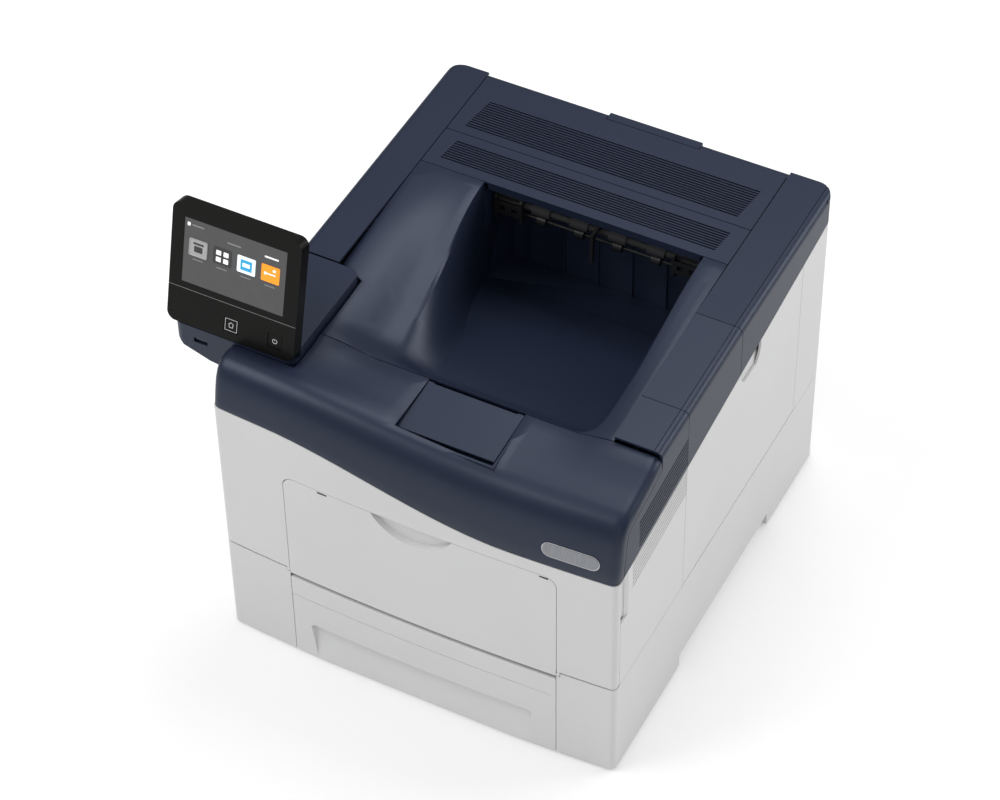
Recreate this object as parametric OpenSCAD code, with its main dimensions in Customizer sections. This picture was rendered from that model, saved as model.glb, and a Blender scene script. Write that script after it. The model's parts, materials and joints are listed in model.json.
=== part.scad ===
/* [Body] */
// Width of the printer body
body_w = 405; // [385:1:430]
// Depth of the body at its corners
body_d = 462; // [450:1:490]
// Height of the flat rear top
body_h = 352; // [348:1:362]
// How far the front bows forward at its middle
bow = 7; // [4:0.5:10]
// Thickness of the moulded covers
wall = 2.4; // [2:0.1:2.8]
// Radius of the rear corners seen from above
rear_r = 18; // [12:1:22]
// Radius of the front corners seen from above
front_r = 6; // [4:0.5:8]
// Radius of the top side edges
edge_r = 7; // [5:0.5:8]
// Height of the rubber feet
foot_h = 3; // [2:0.5:4]
// Diameter of a rubber foot
foot_d = 20; // [14:1:26]
// Height of the top of the lower skirt
skirt_h = 116.4; // [115.5:0.1:117]
// Seam between two fixed covers
seam = 0.8; // [0.5:0.1:1.2]
// Clearance round a moving cover
play = 0.6; // [0.4:0.1:0.8]
// Clearance under a piece that rests on its seat
seat = 0.3; // [0.2:0.05:0.4]

/* [Colour line between dark top and pale sides] */
// Depth of the line below the rear top, at the front left corner
line_left_drop = 54; // [48:1:60]
// Depth of the line below the rear top, at the front right corner
line_right_drop = 93; // [88:1:96]
// Depth of the line below the rear top, at the rear
line_rear_drop = 31; // [26:1:36]

/* [Front] */
// Distance of the bypass door from the left side
by_left = 71.5; // [66:0.5:76]
// Distance of the bypass door from the right side
by_right = 57.9; // [54:0.1:62]
// Bottom edge of the bypass door
by_z0 = 110.6; // [110.4:0.1:111.4]
// Distance of the bypass door's top edge below the colour line's lowest place
by_drop = 15.5; // [11:0.5:21]
// Corner radius of the bypass door
by_r = 12; // [8:1:16]
// Depth of the finger scoop in the bypass door
scoop_h = 24; // [16:1:28]
// Width of the finger scoop
scoop_w = 82; // [60:1:90]
// Height of the cassette front
tray_front_h = 107.4; // [104:0.1:107.4]
// Top of the pull recess in the cassette front
pull_h = 49; // [40:1:56]
// Depth of the pull recess
pull_d = 9; // [6:0.5:10]

/* [Top] */
// Width of the left side cover
left_cover_w = 40.5; // [37:0.5:44]
// Width of the right side covers
right_cover_w = 46.5; // [44:0.5:49]
// Distance of the exit lid's front edge from the rear
lid_back = 140; // [137:1:143]
// Distance of the exit lid's rear edge from the rear
panel_back = 90; // [85:1:93]
// Distance of the rear right cover's front edge from the rear
strip_back = 209; // [201:1:217]
// Distance of the toner door's front edge from the front corners
strip_front = 141; // [135:1:147]
// Depth of the front cover behind the front corners
nose_len = 86; // [83:1:89]
// Slots in the rear grille
rear_slots = 13; // [8:1:15]
// Slots in the lid grille
lid_slots = 9; // [6:1:10]
// Width of one grille slot
slot_w = 1.7; // [1.2:0.1:2]

/* [Output tray] */
// Distance of the tray's left wall from the left side
well_left = 111; // [108.5:0.5:114.5]
// Distance of the tray's right wall from the right side
well_right = 73.9; // [71.5:0.1:76.5]
// Depth of the tray floor below the rear top, at the back wall
well_deep = 140; // [136:1:144]
// Depth of the tray floor below the rear top, at the front
well_shallow = 54; // [48:1:62]
// Distance of the tray's back wall from the rear
well_back = 84; // [81:1:87]

/* [Control panel] */
// Width of the control panel
panel_w = 131; // [120:1:140]
// Height of the control panel along its face
panel_h = 124.6; // [110:0.2:130]
// Thickness of the control panel
panel_t = 13; // [11:0.5:14]
// Lean of the panel from upright
panel_tilt = 14.35; // [8:0.05:20]
// Overhang of the pedestal past the left side
ped_out = 59.5; // [53.5:0.5:65.5]
// Travel of a panel button
button_travel = 1; // [0.6:0.1:1.2]

/* [Toner door] */
// Distance of the toner door's rear edge from the rear
door_back = 71; // [67:1:75]
// Bottom edge of the toner door
door_z0 = 117; // [116.5:0.1:118.5]

/* [Print engine] */
// Radius of a photoconductor drum
drum_r = 12; // [10:0.5:12]
// Radius of a transfer belt roller
belt_r = 11; // [10:0.5:12]
// Room between the belt and the fuser
fuse_gap = 43.2; // [41:0.1:50]
// Slope of the engine, front end high
engine_tilt = 12; // [10:0.5:13]
// Radius of a fuser roller
fuser_r = 13; // [11:0.5:14]
// Gap between the toner cartridges
toner_gap = 8; // [6:0.5:12]
// Teeth of the motor pinion
pinion_teeth = 14; // [12:1:18]
// Teeth of the drive gear
gear_teeth = 56; // [48:1:60]
// Tooth module of the drive
tooth_m = 1.5; // [1.4:0.05:1.6]

/* [Paper cassette] */
// Depth of the cassette behind the front
cassette_d = 345; // [330:1:350]
// Width of a letter sheet
sheet_w = 216; // [210:1:216]
// Length of a letter sheet
sheet_l = 279; // [270:1:279]

/* [Hidden] */

// Overrun of every cut
eps = 1;
// Thin web and small feature sizes shared by the moulded pieces
web = 1.6;
rib = 3;
lug = 3;
pin_r = 1.5;
fit = 0.06;
hw = body_w / 2;
hd = body_d / 2;
deep = body_d;
floor_t = foot_h;
// Places of seams and edges, each from the face of the body that it keeps to
line_left = body_h - line_left_drop;
line_right = body_h - line_right_drop;
line_rear = body_h - line_rear_drop;
by_x0 = -hw + by_left;
by_x1 = hw - by_right;
by_z1 = line_right - by_drop;
seam_l = -hw + left_cover_w;
seam_r = hw - right_cover_w;
lid_y = hd - lid_back;
panel_y = hd - panel_back;
strip_y1 = hd - strip_back;
strip_y0 = -hd + strip_front;
nose_y = -hd + nose_len;
well_x0 = -hw + well_left;
well_x1 = hw - well_right;
well_z0 = body_h - well_deep;
well_z1 = body_h - well_shallow;
well_y1 = hd - well_back;
ped_x0 = -hw - ped_out;
door_y1 = hd - door_back;
bow_c = hw - front_r;
bow_R = (bow_c * bow_c + bow * bow) / (2 * bow);
bow_cy = bow_R - hd - bow;
flush_y = -hd;

navy = [0.2, 0.22, 0.32];
pale = [0.86, 0.86, 0.86];
dark = [0.09, 0.09, 0.1];
steel = [0.66, 0.67, 0.69];
black = [0.05, 0.05, 0.06];
grey = [0.45, 0.46, 0.48];

function smooth(t) = let (u = min(max(t, 0), 1)) u * u * (3 - 2 * u);
function mix(a, b, t) = a + (b - a) * t;
// Front face of the bowed body at a place across it
function front_at(x) = bow_cy - sqrt(bow_R * bow_R - x * x);

// Solids laid along the axes: a side profile swept across, a front profile swept back
module across(x0, x1) translate([x0, 0, 0]) rotate([90, 0, 90]) linear_extrude(x1 - x0) children();
module back(y0, y1) translate([0, y1, 0]) rotate([90, 0, 0]) linear_extrude(y1 - y0) children();
module block(a, b) translate(a) cube([b[0] - a[0], b[1] - a[1], b[2] - a[2]]);
module rod(x0, x1, y, z, r, n = 32) translate([x0, y, z]) rotate([0, 90, 0]) cylinder(h = x1 - x0, r = r,
    $fn = n);
module rod_y(y0, y1, x, z, r, n = 32) translate([x, y1, z]) rotate([90, 0, 0]) cylinder(h = y1 - y0, r = r,
    $fn = n);
module box2(x0, y0, x1, y1) translate([x0, y0]) square([x1 - x0, y1 - y0]);
module round2(x0, y0, x1, y1, r) {
  box2(x0 + r, y0, x1 - r, y1);
  box2(x0, y0 + r, x1, y1 - r);
  for (x = [x0 + r, x1 - r], y = [y0 + r, y1 - r]) translate([x, y]) circle(r, $fn = 40);
}

// Body outline from above, moved inward by an inset
module plan(inset = 0) {
  rr = rear_r - inset;
  rf = front_r - inset;
  w = hw - inset;
  box2(-w, -hd + front_r, w, hd - rear_r);
  box2(-hw + rear_r, -hd + front_r, hw - rear_r, hd - inset);
  for (s = [-1, 1]) {
    translate([s * (hw - rear_r), hd - rear_r]) circle(rr, $fn = 48);
    translate([s * bow_c, -hd + front_r]) circle(rf, $fn = 32);
  }
  intersection() {
    translate([0, bow_cy]) circle(bow_R - inset, $fn = 1440);
    box2(-bow_c - web / 4, -hd - bow - eps, bow_c + web / 4, -hd + front_r + web / 4);
  }
}
module ring(z0, z1, t = wall) translate([0, 0, z0]) linear_extrude(z1 - z0) difference() {
  plan();
  plan(t);
}

// Colour line: side lines are straight, the front line is an S curve
line_in_l = 52.5;
line_in_r = 102.5;
line_x0 = -hw + line_in_l;
line_x1 = hw - line_in_r;
side_in = 9;
side_y0 = -hd + side_in;
function line_front(x) = mix(line_left, line_right, smooth((x - line_x0) / (line_x1 - line_x0)));
function line_side(y, right) =
  let (a = right ? line_right : line_left) mix(a, line_rear, (y - side_y0) / (hd - side_y0));
line_steps = 24;
// Region under or over the colour line, seen from the front or from the side
module front_below(gap = 0) polygon(concat(
  [for (i = [0 : line_steps]) let (x = mix(-hw - eps, hw + eps, i / line_steps)) [x, line_front(x) - gap]],
  [[hw + eps, 0], [-hw - eps, 0]]));
module side_zone(y0, y1, right, below, gap = 0) {
  far = below ? 0 : body_h * 2;
  g = below ? -gap : gap;
  polygon([[y0, line_side(y0, right) + g], [y1, line_side(y1, right) + g], [y1, far], [y0, far]]);
}

// Loft of the front cover: stations of its side section, from the colour line to the rear edge
nose_d = nose_y - flush_y;
nose_drop = 11;
nose_top = body_h - nose_drop;
nose_rise = nose_top - line_right;
nose_lift = line_left - line_right;
nose_dip = 6.3;
nose_y_shares = [0, 0.012, 0.035, 0.065, 0.105, 0.16, 0.24, 0.35, 0.5, 0.65, 0.82, 1];
nose_z_shares = [0, 0.195, 0.40, 0.565, 0.67, 0.75, 0.805, 0.835, 0.86, 0.896, 0.945, 1];
nose_lift_shares = [1, 0.77, 0.62, 0.55, 0.535, 0.525, 0.51, 0.45, 0.31, 0.2, 0.1, 0.025];
nose_dip_shares = [0, 0, 0, 0, 0, 0, 0, 0, 0.03, 0.16, 0.5, 1];
nose_n = len(nose_y_shares) - 1;
dip_in_l = 75.5;
dip_in_r = 43.5;
dip_x0 = -hw + dip_in_l;
dip_x1 = hw - dip_in_r;
dip_run = 46;
function dip(x) = smooth((x - dip_x0) / dip_run) * smooth((dip_x1 - x) / dip_run);
function lift(x) = 1 - smooth((x - line_x0) / (line_x1 - line_x0));
function nose_point(i, x, gap = 0) = let (f = max(front_at(min(abs(x), bow_c)), flush_y - bow))
  [x, f + nose_y_shares[i] * (nose_y - f),
   line_right + (i == 0 ? gap : 0) + nose_z_shares[i] * nose_rise
   + nose_lift * lift(x) * nose_lift_shares[i] - nose_dip * dip(x) * nose_dip_shares[i]];
// The same section as a flat outline moved inward, used under the arched rim
function turn(v) = [-v[1], v[0]] / norm(v);
function nose_side(x, off) = [for (i = [0 : nose_n]) let (
  a = nose_point(max(i - 1, 0), x), b = nose_point(min(i + 1, nose_n), x), p = nose_point(i, x),
  n = turn([b[1] - a[1], b[2] - a[2]])) [p[1] - n[0] * off, p[2] - n[1] * off]];

// Closed sheet from a grid of points: the grid and its copy moved in by the wall
function cell(P, i, j) = P[min(max(i, 0), len(P) - 1)][min(max(j, 0), len(P[0]) - 1)];
function normal(P, i, j) = let (
  c = cross(cell(P, i, j + 1) - cell(P, i, j - 1), cell(P, i + 1, j) - cell(P, i - 1, j))) c / norm(c);
module sheet(P, t) {
  n = len(P);
  m = len(P[0]);
  top = [for (i = [0 : n - 1], j = [0 : m - 1]) P[i][j]];
  low = [for (i = [0 : n - 1], j = [0 : m - 1]) P[i][j] - t * normal(P, i, j)];
  s = n * m;
  quads = concat(
    [for (i = [0 : n - 2], j = [0 : m - 2]) let (k = i * m + j) [k, k + m, k + m + 1, k + 1]],
    [for (i = [0 : n - 2], j = [0 : m - 2]) let (k = s + i * m + j) [k, k + 1, k + m + 1, k + m]],
    [for (j = [0 : m - 2]) [j, j + 1, s + j + 1, s + j]],
    [for (j = [0 : m - 2]) let (k = (n - 1) * m + j) [k + 1, k, s + k, s + k + 1]],
    [for (i = [0 : n - 2]) let (k = i * m) [k + m, k, s + k, s + k + m]],
    [for (i = [0 : n - 2]) let (k = i * m + m - 1) [k, k + m, s + k + m, s + k]]);
  polyhedron(points = concat(top, low),
    faces = [for (q = quads, h = [0, 1]) h == 0 ? [q[0], q[1], q[2]] : [q[0], q[2], q[3]]]);
}

// Base
bay_x0 = by_x0 + play / 2;
bay_x1 = by_x1 - play / 2;
bay_z = foot_h + floor_t;
grip_back = 121;
grip_y0 = strip_y0;
grip_y1 = hd - grip_back;
grip_h = 18;
grip_d = 14;
door_ax_in = 1;
door_ax_up = 8.6;
door_ax_y = -hd + door_ax_in;
door_ax_z = skirt_h + door_ax_up;
door_pin_in = 8;
lug_w = 3;
lug_run = 13;
module base_pan() color(pale) difference() {
  union() {
    ring(foot_h, skirt_h);
    translate([0, 0, foot_h]) linear_extrude(floor_t) plan(wall / 2);
    // Hand grips moulded in the lower side edges
    for (s = [-1, 1]) {
      x = s * (hw - grip_d / 2);
      block([x - grip_d / 2, grip_y0 - wall, foot_h], [x + grip_d / 2, grip_y1 + wall,
          grip_h + foot_h + wall]);
    }
    // Brackets that carry the front door, reached round its lower edge from behind
    for (x = door_lugs) {
      rod(x, x + lug_w, door_ax_y, door_ax_z, lug);
      block([x, door_ax_y, door_ax_z - lug / 2], [x + lug_w, lug_y + lug, door_ax_z + lug * 0.9]);
      block([x, lug_y, skirt_h - lug * 5], [x + lug_w, lug_y + lug, door_ax_z + lug * 0.9]);
      block([x, door_ax_y - lug, skirt_h - lug * 5], [x + lug_w, lug_y + lug, skirt_h - lug * 2]);
    }
    // Bosses that carry the rear door
    for (x = [rd_x0 - play - lug_w, rd_x1 + play])
      block([x, rd_pin_y - lug, rd_pin_z - lug], [x + lug_w, hd - wall / 2, rd_pin_z + lug]);
  }
  block([rd_x0 - play, hd - wall * 3, rd_z0 - play], [rd_x1 + play, deep, body_h]);
  rod(rd_x0 - play - lug_w - eps, rd_x1 + play + lug_w + eps, rd_pin_y, rd_pin_z, pin_r + fit);
  block([bay_x0 - play, -deep, bay_z], [bay_x1 + play, flush_y + bay_z * 2, body_h]);
  block([bay_x0 - play, -deep, 0], [bay_x1 + play, cas_y0, bay_z + eps]);
  for (s = [-1, 1]) {
    x = s * hw;
    block([x - grip_d + wall, grip_y0, -eps], [x + grip_d - wall, grip_y1, grip_h]);
  }
  for (x = door_lugs) rod(x - eps, x + lug_w + eps, door_ax_y, door_ax_z, pin_r + fit);
  // Room for the hinge bosses of the bypass door
  for (x = [by_x0 - play - boss_w - seat, by_x1 + play - eps]) {
    rod(x, x + boss_w + seat + eps, by_pin_y, by_pin_z, boss_r + seat, 40);
    block([x, by_pin_y - boss_r - seat, by_pin_z], [x + boss_w + seat + eps, by_pin_y + boss_r + seat,
        skirt_h + eps]);
  }
  rear_cutouts();
}
door_lugs = [by_x0 - door_pin_in - lug_w, by_x1 + door_pin_in];
lug_y = door_ax_y + lug_run;

foot_in = 32;
module rubber_feet() color(black) {
  for (x = [-1, 1], y = [-1, 1]) translate([x * (hw - foot_in), y * (hd - foot_in)]) cylinder(h = foot_h,
      d = foot_d, $fn = 40);
  // Middle foot that keeps the long floor from sagging
  cylinder(h = foot_h, d = foot_d, $fn = 40);
}

// Side walls of the upper body
corner_x = hw - rear_r - wall;
side_z0 = skirt_h + seam;
pull_y0 = side_y0 - play;
grip_top_in = 1;
grip_high = 56;
grip_z1 = line_right - grip_top_in;
grip_z0 = grip_z1 - grip_high;
grip_run = 16;
module side_shell(right) {
  s = right ? 1 : -1;
  intersection() {
    ring(side_z0, body_h);
    across(min(0, s * (hw + eps)), max(0, s * (hw + eps))) side_zone(pull_y0, hd + eps, right, true,
        seam / 2);
    union() {
      translate([s * hw, 0, body_h / 2]) cube([(wall + rear_r / 4) * 2, deep * 2, body_h], center = true);
      block([min(s * corner_x, s * hw), hd - rear_r - eps, 0], [max(s * corner_x, s * hw), deep, body_h]);
    }
  }
  // Flange that closes the skirt below
  x0 = s * (hw - wall - rib);
  x1 = s * (hw - wall / 2);
  block([min(x0, x1), pull_y0, side_z0], [max(x0, x1), hd - rear_r, side_z0 + wall]);
}
module left_panel() color(pale) side_shell(false);

louvre_n = 7;
louvre_p = 5;
louvre_w = 2;
louvre_in = 31;
louvre_y0 = -hd + louvre_in;
louvre_run = strip_y0 - louvre_y0 + eps;
louvre_cut = 12;
// Vent lines that follow the colour line, counted down from it
module louvres(first, count, x0, x1, y0) for (i = [first : first + count - 1])
  across(x0, x1) let (a = louvre_y0 + (i < 0 ? louvre_cut : 0), b = louvre_y0 + louvre_run,
    drop = (i + 0.7) * louvre_p)
    polygon([[a, line_side(a, true) - drop], [b, line_side(b, true) - drop],
      [b, line_side(b, true) - drop + louvre_w], [a, line_side(a, true) - drop + louvre_w]]);

scoop_len = 44;
scoop_y0 = strip_y1 + eps;
scoop_y1 = scoop_y0 + scoop_len;
scoop_z = 18;
sill_in = 14.5;
sill_x = hw - sill_in;
sill_h = 6;
module right_panel() color(pale) difference() {
  union() {
    difference() {
      side_shell(true);
      // Opening for the toner door
      block([hw - wall - rib - eps, strip_y0 - play, 0], [hw + eps, door_y1 + play, body_h]);
    }
    // Sill behind the door, with the bosses of its hinge
    block([sill_x, strip_y0 - play - lug_w, side_z0], [sill_x + rib, door_y1 + play + lug_w, side_z0 + rib]);
    for (y = [strip_y0 - play - lug_w, door_y1 + play])
      block([sill_x, y, side_z0], [hw - wall / 2, y + lug_w, side_z0 + sill_h]);
  }
  for (y = [strip_y0 - play - lug_w, door_y1 + play]) rod_y(y - eps, y + lug_w + eps, door_pin_x,
      door_pin_z, pin_r + fit);
  louvres(0, louvre_n, hw - wall - eps, hw + eps);
  // Finger space behind the front door's edge
  translate([0, 0, grip_z0]) linear_extrude(grip_z1 - grip_z0)
    polygon([[hw + eps, pull_y0 + grip_run], [hw - wall - eps, pull_y0 + grip_run / 2],
      [hw - wall - eps, pull_y0 - eps], [hw + eps, pull_y0 - eps]]);
}

// Dark strips over the right edge, all on one tilted profile
strip_tilt = 1.7;
strip_z = body_h - seam / 2;
strip_more = 37.4;
strip_low = strip_z - line_right + strip_more;
ledge = 0.8;
ledge_x = 8;
module strip_profile() difference() {
  round2(seam_r - rear_r, -strip_low, hw, 0, edge_r);
  box2(seam_r - rear_r - eps, -strip_low - eps, seam_r, eps);
  difference() {
    box2(seam_r - eps, -strip_low - eps, hw - wall, -wall);
    translate([hw - edge_r, -edge_r]) difference() {
      box2(0, 0, edge_r, edge_r);
      circle(edge_r - wall, $fn = 40);
    }
  }
  // Step line along the outer edge
  box2(hw - ledge_x - ledge, -ledge, hw - ledge_x, eps);
}
module strip_body(tilt) translate([0, strip_y1, strip_z]) rotate([tilt, 0, 0]) back(-deep,
    deep) strip_profile();
module above_line(y0, y1) across(0, hw + eps) side_zone(y0, y1, true, false, seam / 2);
cowl_gap = 13.8;
cowl_t = wall;
module vent_cowl() color(navy) difference() {
  union() {
    intersection() {
      union() {
        intersection() {
          strip_body(strip_tilt);
          block([0, nose_y + seam, 0], [hw + eps, strip_y0, body_h * 2]);
        }
        // Side plate under the arched rim of the front cover
        across(hw - wall, hw) polygon(concat(nose_side(hw, cowl_gap),
          [[nose_y + seam + eps, line_right], [side_y0 - play, line_right]]));
      }
      above_line(side_y0 + rib, strip_y0 - play);
    }
    // Inner ledge that the toner door closes against
    block([hw - wall - rib, strip_y0 - play - wall, line_right + rib * 8], [hw - wall / 2, strip_y0 - play,
        strip_z - edge_r - rib]);
  }
  louvres(-louvre_n - 1, louvre_n, hw - wall - eps, hw + eps);
}

module right_top_cover() color(navy) {
  intersection() {
    union() {
      strip_body(0);
      // Rear edge turned down
      back(hd - wall, hd) box2(seam_r, line_rear + seam, hw, strip_z - edge_r);
      intersection() {
        ring(line_rear + seam / 2, strip_z - ledge - wall / 2);
        block([hw - rear_r - eps, hd - rear_r - eps, 0], [hw, hd, body_h]);
      }
    }
    linear_extrude(body_h * 2) plan();
    above_line(strip_y1, hd + eps);
  }
}

// Left side cover with the skirt that runs forward under the panel pedestal
ped_front = 39;
ped_d = 126;
ped_in = 65.5;
ped_y0 = -hd + ped_front;
ped_y1 = ped_y0 + ped_d;
ped_x1 = -hw + ped_in;
left_drop_z = 22;
left_z1 = body_h - left_drop_z;
module left_profile() mirror([1, 0]) difference() {
  round2(-seam_l - rear_r, -strip_low, hw, 0, edge_r);
  box2(-seam_l - rear_r - eps, -strip_low - eps, -seam_l, eps);
  difference() {
    box2(-seam_l - eps, -strip_low - eps, hw - wall, -wall);
    translate([hw - edge_r, -edge_r]) difference() {
      box2(0, 0, edge_r, edge_r);
      circle(edge_r - wall, $fn = 40);
    }
  }
}
module left_top_cover() color(navy) intersection() {
  union() {
    translate([0, 0, body_h]) back(ped_y1 + seam, deep) left_profile();
    across(-hw, -hw + wall) polygon(concat(
      [for (p = nose_side(-hw, cowl_gap)) [min(p[0], nose_y), min(p[1], left_z1)]],
      [[ped_y1 + seam + eps, left_z1], [ped_y1 + seam + eps, line_right], [side_y0, line_right]]));
    intersection() {
      ring(line_rear + seam / 2, body_h - edge_r);
      block([-hw, hd - rear_r - eps, 0], [seam_l, hd, body_h]);
    }
    // Deck that carries the pedestal
    block([-hw + wall / 2, ped_y0 + rib, left_z1 + seam - seat - wall], [ped_x1 - rib, ped_y1 + seam + wall,
        left_z1 + seam - seat]);
  }
  linear_extrude(body_h * 2) plan();
  across(-hw - eps, 0) side_zone(side_y0 + rib, hd + eps, false, false, seam / 2);
}

// Top rear panel and exit lid with their grilles
grille_in_l = 15;
grille_in_r = 19;
grille_x0 = seam_l + grille_in_l;
grille_x1 = seam_r - grille_in_r;
rear_grille_in = 11.6;
rear_grille_y0 = panel_y + rear_grille_in;
rear_pitch = 3.28;
lid_grille_in = 11.5;
lid_grille_y0 = lid_y + lid_grille_in;
lid_pitch = 3.2;
tab_mid = 17;
tab_w = 98;
tab_d = 10;
tab_x0 = tab_mid - tab_w / 2;
tab_x1 = tab_mid + tab_w / 2;
tab_y = hd - tab_d;
rear_z0 = left_z1;
module grille(y0, pitch, n) for (i = [0 : n - 1])
  block([grille_x0 + i * seam / 2, y0 + i * pitch, body_h - wall - eps],
    [grille_x1 + i * seam / 2, y0 + i * pitch + slot_w, body_h + eps]);
module rear_top_panel() color(navy) difference() {
  union() {
    intersection() {
      across(seam_l + seam, seam_r - seam) difference() {
        round2(-hd, -body_h, hd, body_h, edge_r);
        box2(-hd - eps, -body_h - eps, hd - wall, body_h - wall);
      }
      block([-hw, panel_y + seam, rear_z0], [hw, hd, body_h]);
    }
    // Stiffening rib behind the exit lid
    block([seam_l + rib, panel_y + seam, body_h - wall * 3], [seam_r - rib, panel_y + seam + wall,
        body_h - wall / 2]);
  }
  grille(rear_grille_y0, rear_pitch, rear_slots);
  // Notch for the rear door's handle
  block([tab_x0, tab_y, 0], [tab_x1, deep, body_h + eps]);
}
lip_h = 9;
module exit_lid() color(navy) difference() {
  union() {
    block([seam_l + seam, lid_y, body_h - wall], [seam_r - seam, panel_y, body_h]);
    across(well_x0 + seam, well_x1 - seam) round2(lid_y, body_h - lip_h, lid_y + wall, body_h - web, web / 2);
    // Hangers that hold the exit rollers
    for (x = [guide_l0, guide_r1 - wall]) block([x, exit_y0 + rib, exit_zc + exit_r * 2 + seat], [x + wall,
        exit_y1 - rib, body_h - wall / 2]);
  }
  grille(lid_grille_y0, lid_pitch, lid_slots);
}

// Output tray cover: rows run from the front seam to the lid, columns from left to right
tray_rows = 22;
crest_l_out = 2.5;
crest_l_in = 11.5;
crest_r_out = 3.1;
crest_r_far = 10.4;
crest_l_back = well_x0 - crest_l_out;
crest_l_front = well_x0 + crest_l_in;
crest_r_back = well_x1 + crest_r_out;
crest_r_front = well_x1 + crest_r_far;
wall_back = 5;
wall_front = 44;
wall_r_front = 26;
lip_run = 33;
lip_y = nose_y + lip_run;
left_drop = 13;
roll_x = line_x0;
left_col_shares = [0, 0.1, 0.3, 0.5, 0.7, 0.86, 1];
wall_col_shares = [0, 0.12, 0.3, 0.5, 0.7, 0.88, 1];
floor_col_shares = [0.1, 0.3, 0.5, 0.7, 0.9];
right_col_shares = [0.4, 0.7, 1];
function tray_y(i) = mix(nose_y + seam, lid_y - seam, i / tray_rows);
function ahead(y) = smooth((lid_y - y) / (lid_y - lip_y));
function floor_z(y) = mix(well_z1, well_z0, (y - lip_y) / (well_y1 - lip_y));
function rim_z(x, y) = mix(body_h, nose_top - nose_dip * dip(x) + 0.025 * nose_lift * lift(x),
    smooth((lid_y - y) / (lid_y - nose_y)));
function lip_rise(y) = smooth((lip_y - y) / (lip_y - nose_y));
function crest_l(y) = mix(crest_l_back, crest_l_front, ahead(y));
function crest_r(y) = mix(crest_r_back, crest_r_front, ahead(y));
function left_edge(y) = y < ped_y1 ? ped_x1 + seam : seam_l + seam;
function drop_l(x, y) = left_drop * smooth((x - roll_x) / (crest_l(y) - roll_x))
  * smooth((lid_y - y) / (lid_y / 2 - nose_y / 2));
function tray_row(y) = let (
  l = left_edge(y), cl = crest_l(y), cr = crest_r(y), r = seam_r - seam,
  wl = mix(wall_back, wall_front, ahead(y)), wr = mix(wall_back, wall_r_front, ahead(y)),
  zf = floor_z(max(y, lip_y)),
  zl = rim_z(cl, y) - drop_l(cl, y), zr = rim_z(cr, y))
  concat(
    [for (s = left_col_shares) let (x = mix(l, cl, s)) [x, y, rim_z(x, y) - drop_l(x,
        y) * (1 - lip_rise(y))]],
    [for (s = wall_col_shares) if (s > 0) let (x = cl + s * wl, z = mix(zl, zf, smooth(s)))
      [x, y, mix(z, rim_z(x, y), lip_rise(y))]],
    [for (s = floor_col_shares) let (x = mix(cl + wl, cr - wr, s)) [x, y, mix(zf, rim_z(x, y), lip_rise(y))]],
    [for (s = wall_col_shares) if (s < 1) let (x = cr - wr + s * wr, z = mix(zf, zr, smooth(s)))
      [x, y, mix(z, rim_z(x, y), lip_rise(y))]],
    [for (s = concat([0], right_col_shares)) let (x = mix(cr, r, s)) [x, y, rim_z(x, y)]]);
exit_drop = 56;
exit_z0 = body_h - exit_drop;
tray_rib_p = 36;
module output_tray() color(navy) difference() {
  union() {
    sheet([for (i = [0 : tray_rows]) tray_row(tray_y(i))], wall);
    // The part of the well that runs back under the lid
    intersection() {
      union() {
        for (x = [well_x0 - wall, well_x1]) block([x, lid_y - seam * 2, well_z0 - wall], [x + wall, well_y1,
            body_h - wall - seat - lip_h]);
        across(well_x0 - wall / 2, well_x1 + wall / 2) polygon([[lid_y - seam * 2, floor_z(lid_y) - wall],
            [well_y1, floor_z(well_y1) - wall],
          [well_y1, floor_z(well_y1)], [lid_y - seam * 2, floor_z(lid_y)]]);
        block([well_x0 - wall, well_y1 - wall, well_z0 - wall], [well_x1 + wall, well_y1, exit_z0]);
        // Upright ribs on the back wall
        for (x = [well_x0 + tray_rib_p / 2 : tray_rib_p : well_x1]) block([x, well_y1 - wall - web,
            well_z0], [x + web, well_y1 - wall / 2, exit_z0]);
      }
      across(-hw, hw) polygon([[-hd, body_h], [lid_y - seam * 2, floor_z(lid_y - seam * 2) - wall],
          [well_y1, floor_z(well_y1) - wall],
        [hd, floor_z(well_y1) - wall], [hd, body_h]]);
    }
  }
  // Front edge kept square along the seam
  block([-hw, -deep, 0], [hw, nose_y + seam - fit, body_h * 2]);
}

// Rear cover, with the opening of the rear door
rd_in = 52.5;
rd_x0 = -hw + rd_in;
rd_x1 = hw - rd_in;
rd_z0 = 92;
rear_seat = corner_x - seam;
bar_in = 19;
bar_y = hd - bar_in;
bar_h = 24;
module rear_cover() color(pale) difference() {
  union() {
    block([-rear_seat, hd - wall, side_z0], [rear_seat, hd, line_rear - seam / 2]);
    block([seam_l + seam, hd - wall, side_z0], [seam_r - seam, hd, rear_z0 - seam]);
    for (x = [rd_x0 - play - wall, rd_x1 + play]) block([x, bar_y, side_z0], [x + wall, hd - wall / 2,
        rear_z0 - rib]);
    // Bar behind the top of the rear door
    block([rd_x0 - play - wall, bar_y, rear_z0 - bar_h], [rd_x1 + play + wall, bar_y + rib, rear_z0 - rib]);
    // Clips behind the top edge, seated under the rear panel
    for (x = [-rear_seat + rib, rear_seat - rib * 4]) block([x, hd - wall * 2 - seat, line_rear - lug * 4],
        [x + rib * 3, hd - wall / 2, line_rear - lug]);
  }
  block([rd_x0 - play, bar_y + rib + eps, rd_z0 - play], [rd_x1 + play, deep, body_h]);
  fan_vent();
}
fan_in = 32;
fan_x = hw - fan_in;
fan_z = 190;
fan_r = 15;
fan_w = 33;
vent_n = 6;
vent_p = 5.2;
module fan_vent() for (i = [-(vent_n - 1) / 2 : (vent_n - 1) / 2])
  block([fan_x - fan_r, hd - wall - eps, fan_z + i * vent_p - louvre_w / 2], [fan_x + fan_r * 0.6, hd + eps,
      fan_z + i * vent_p + louvre_w / 2]);
inlet_in = 34.5;
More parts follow.
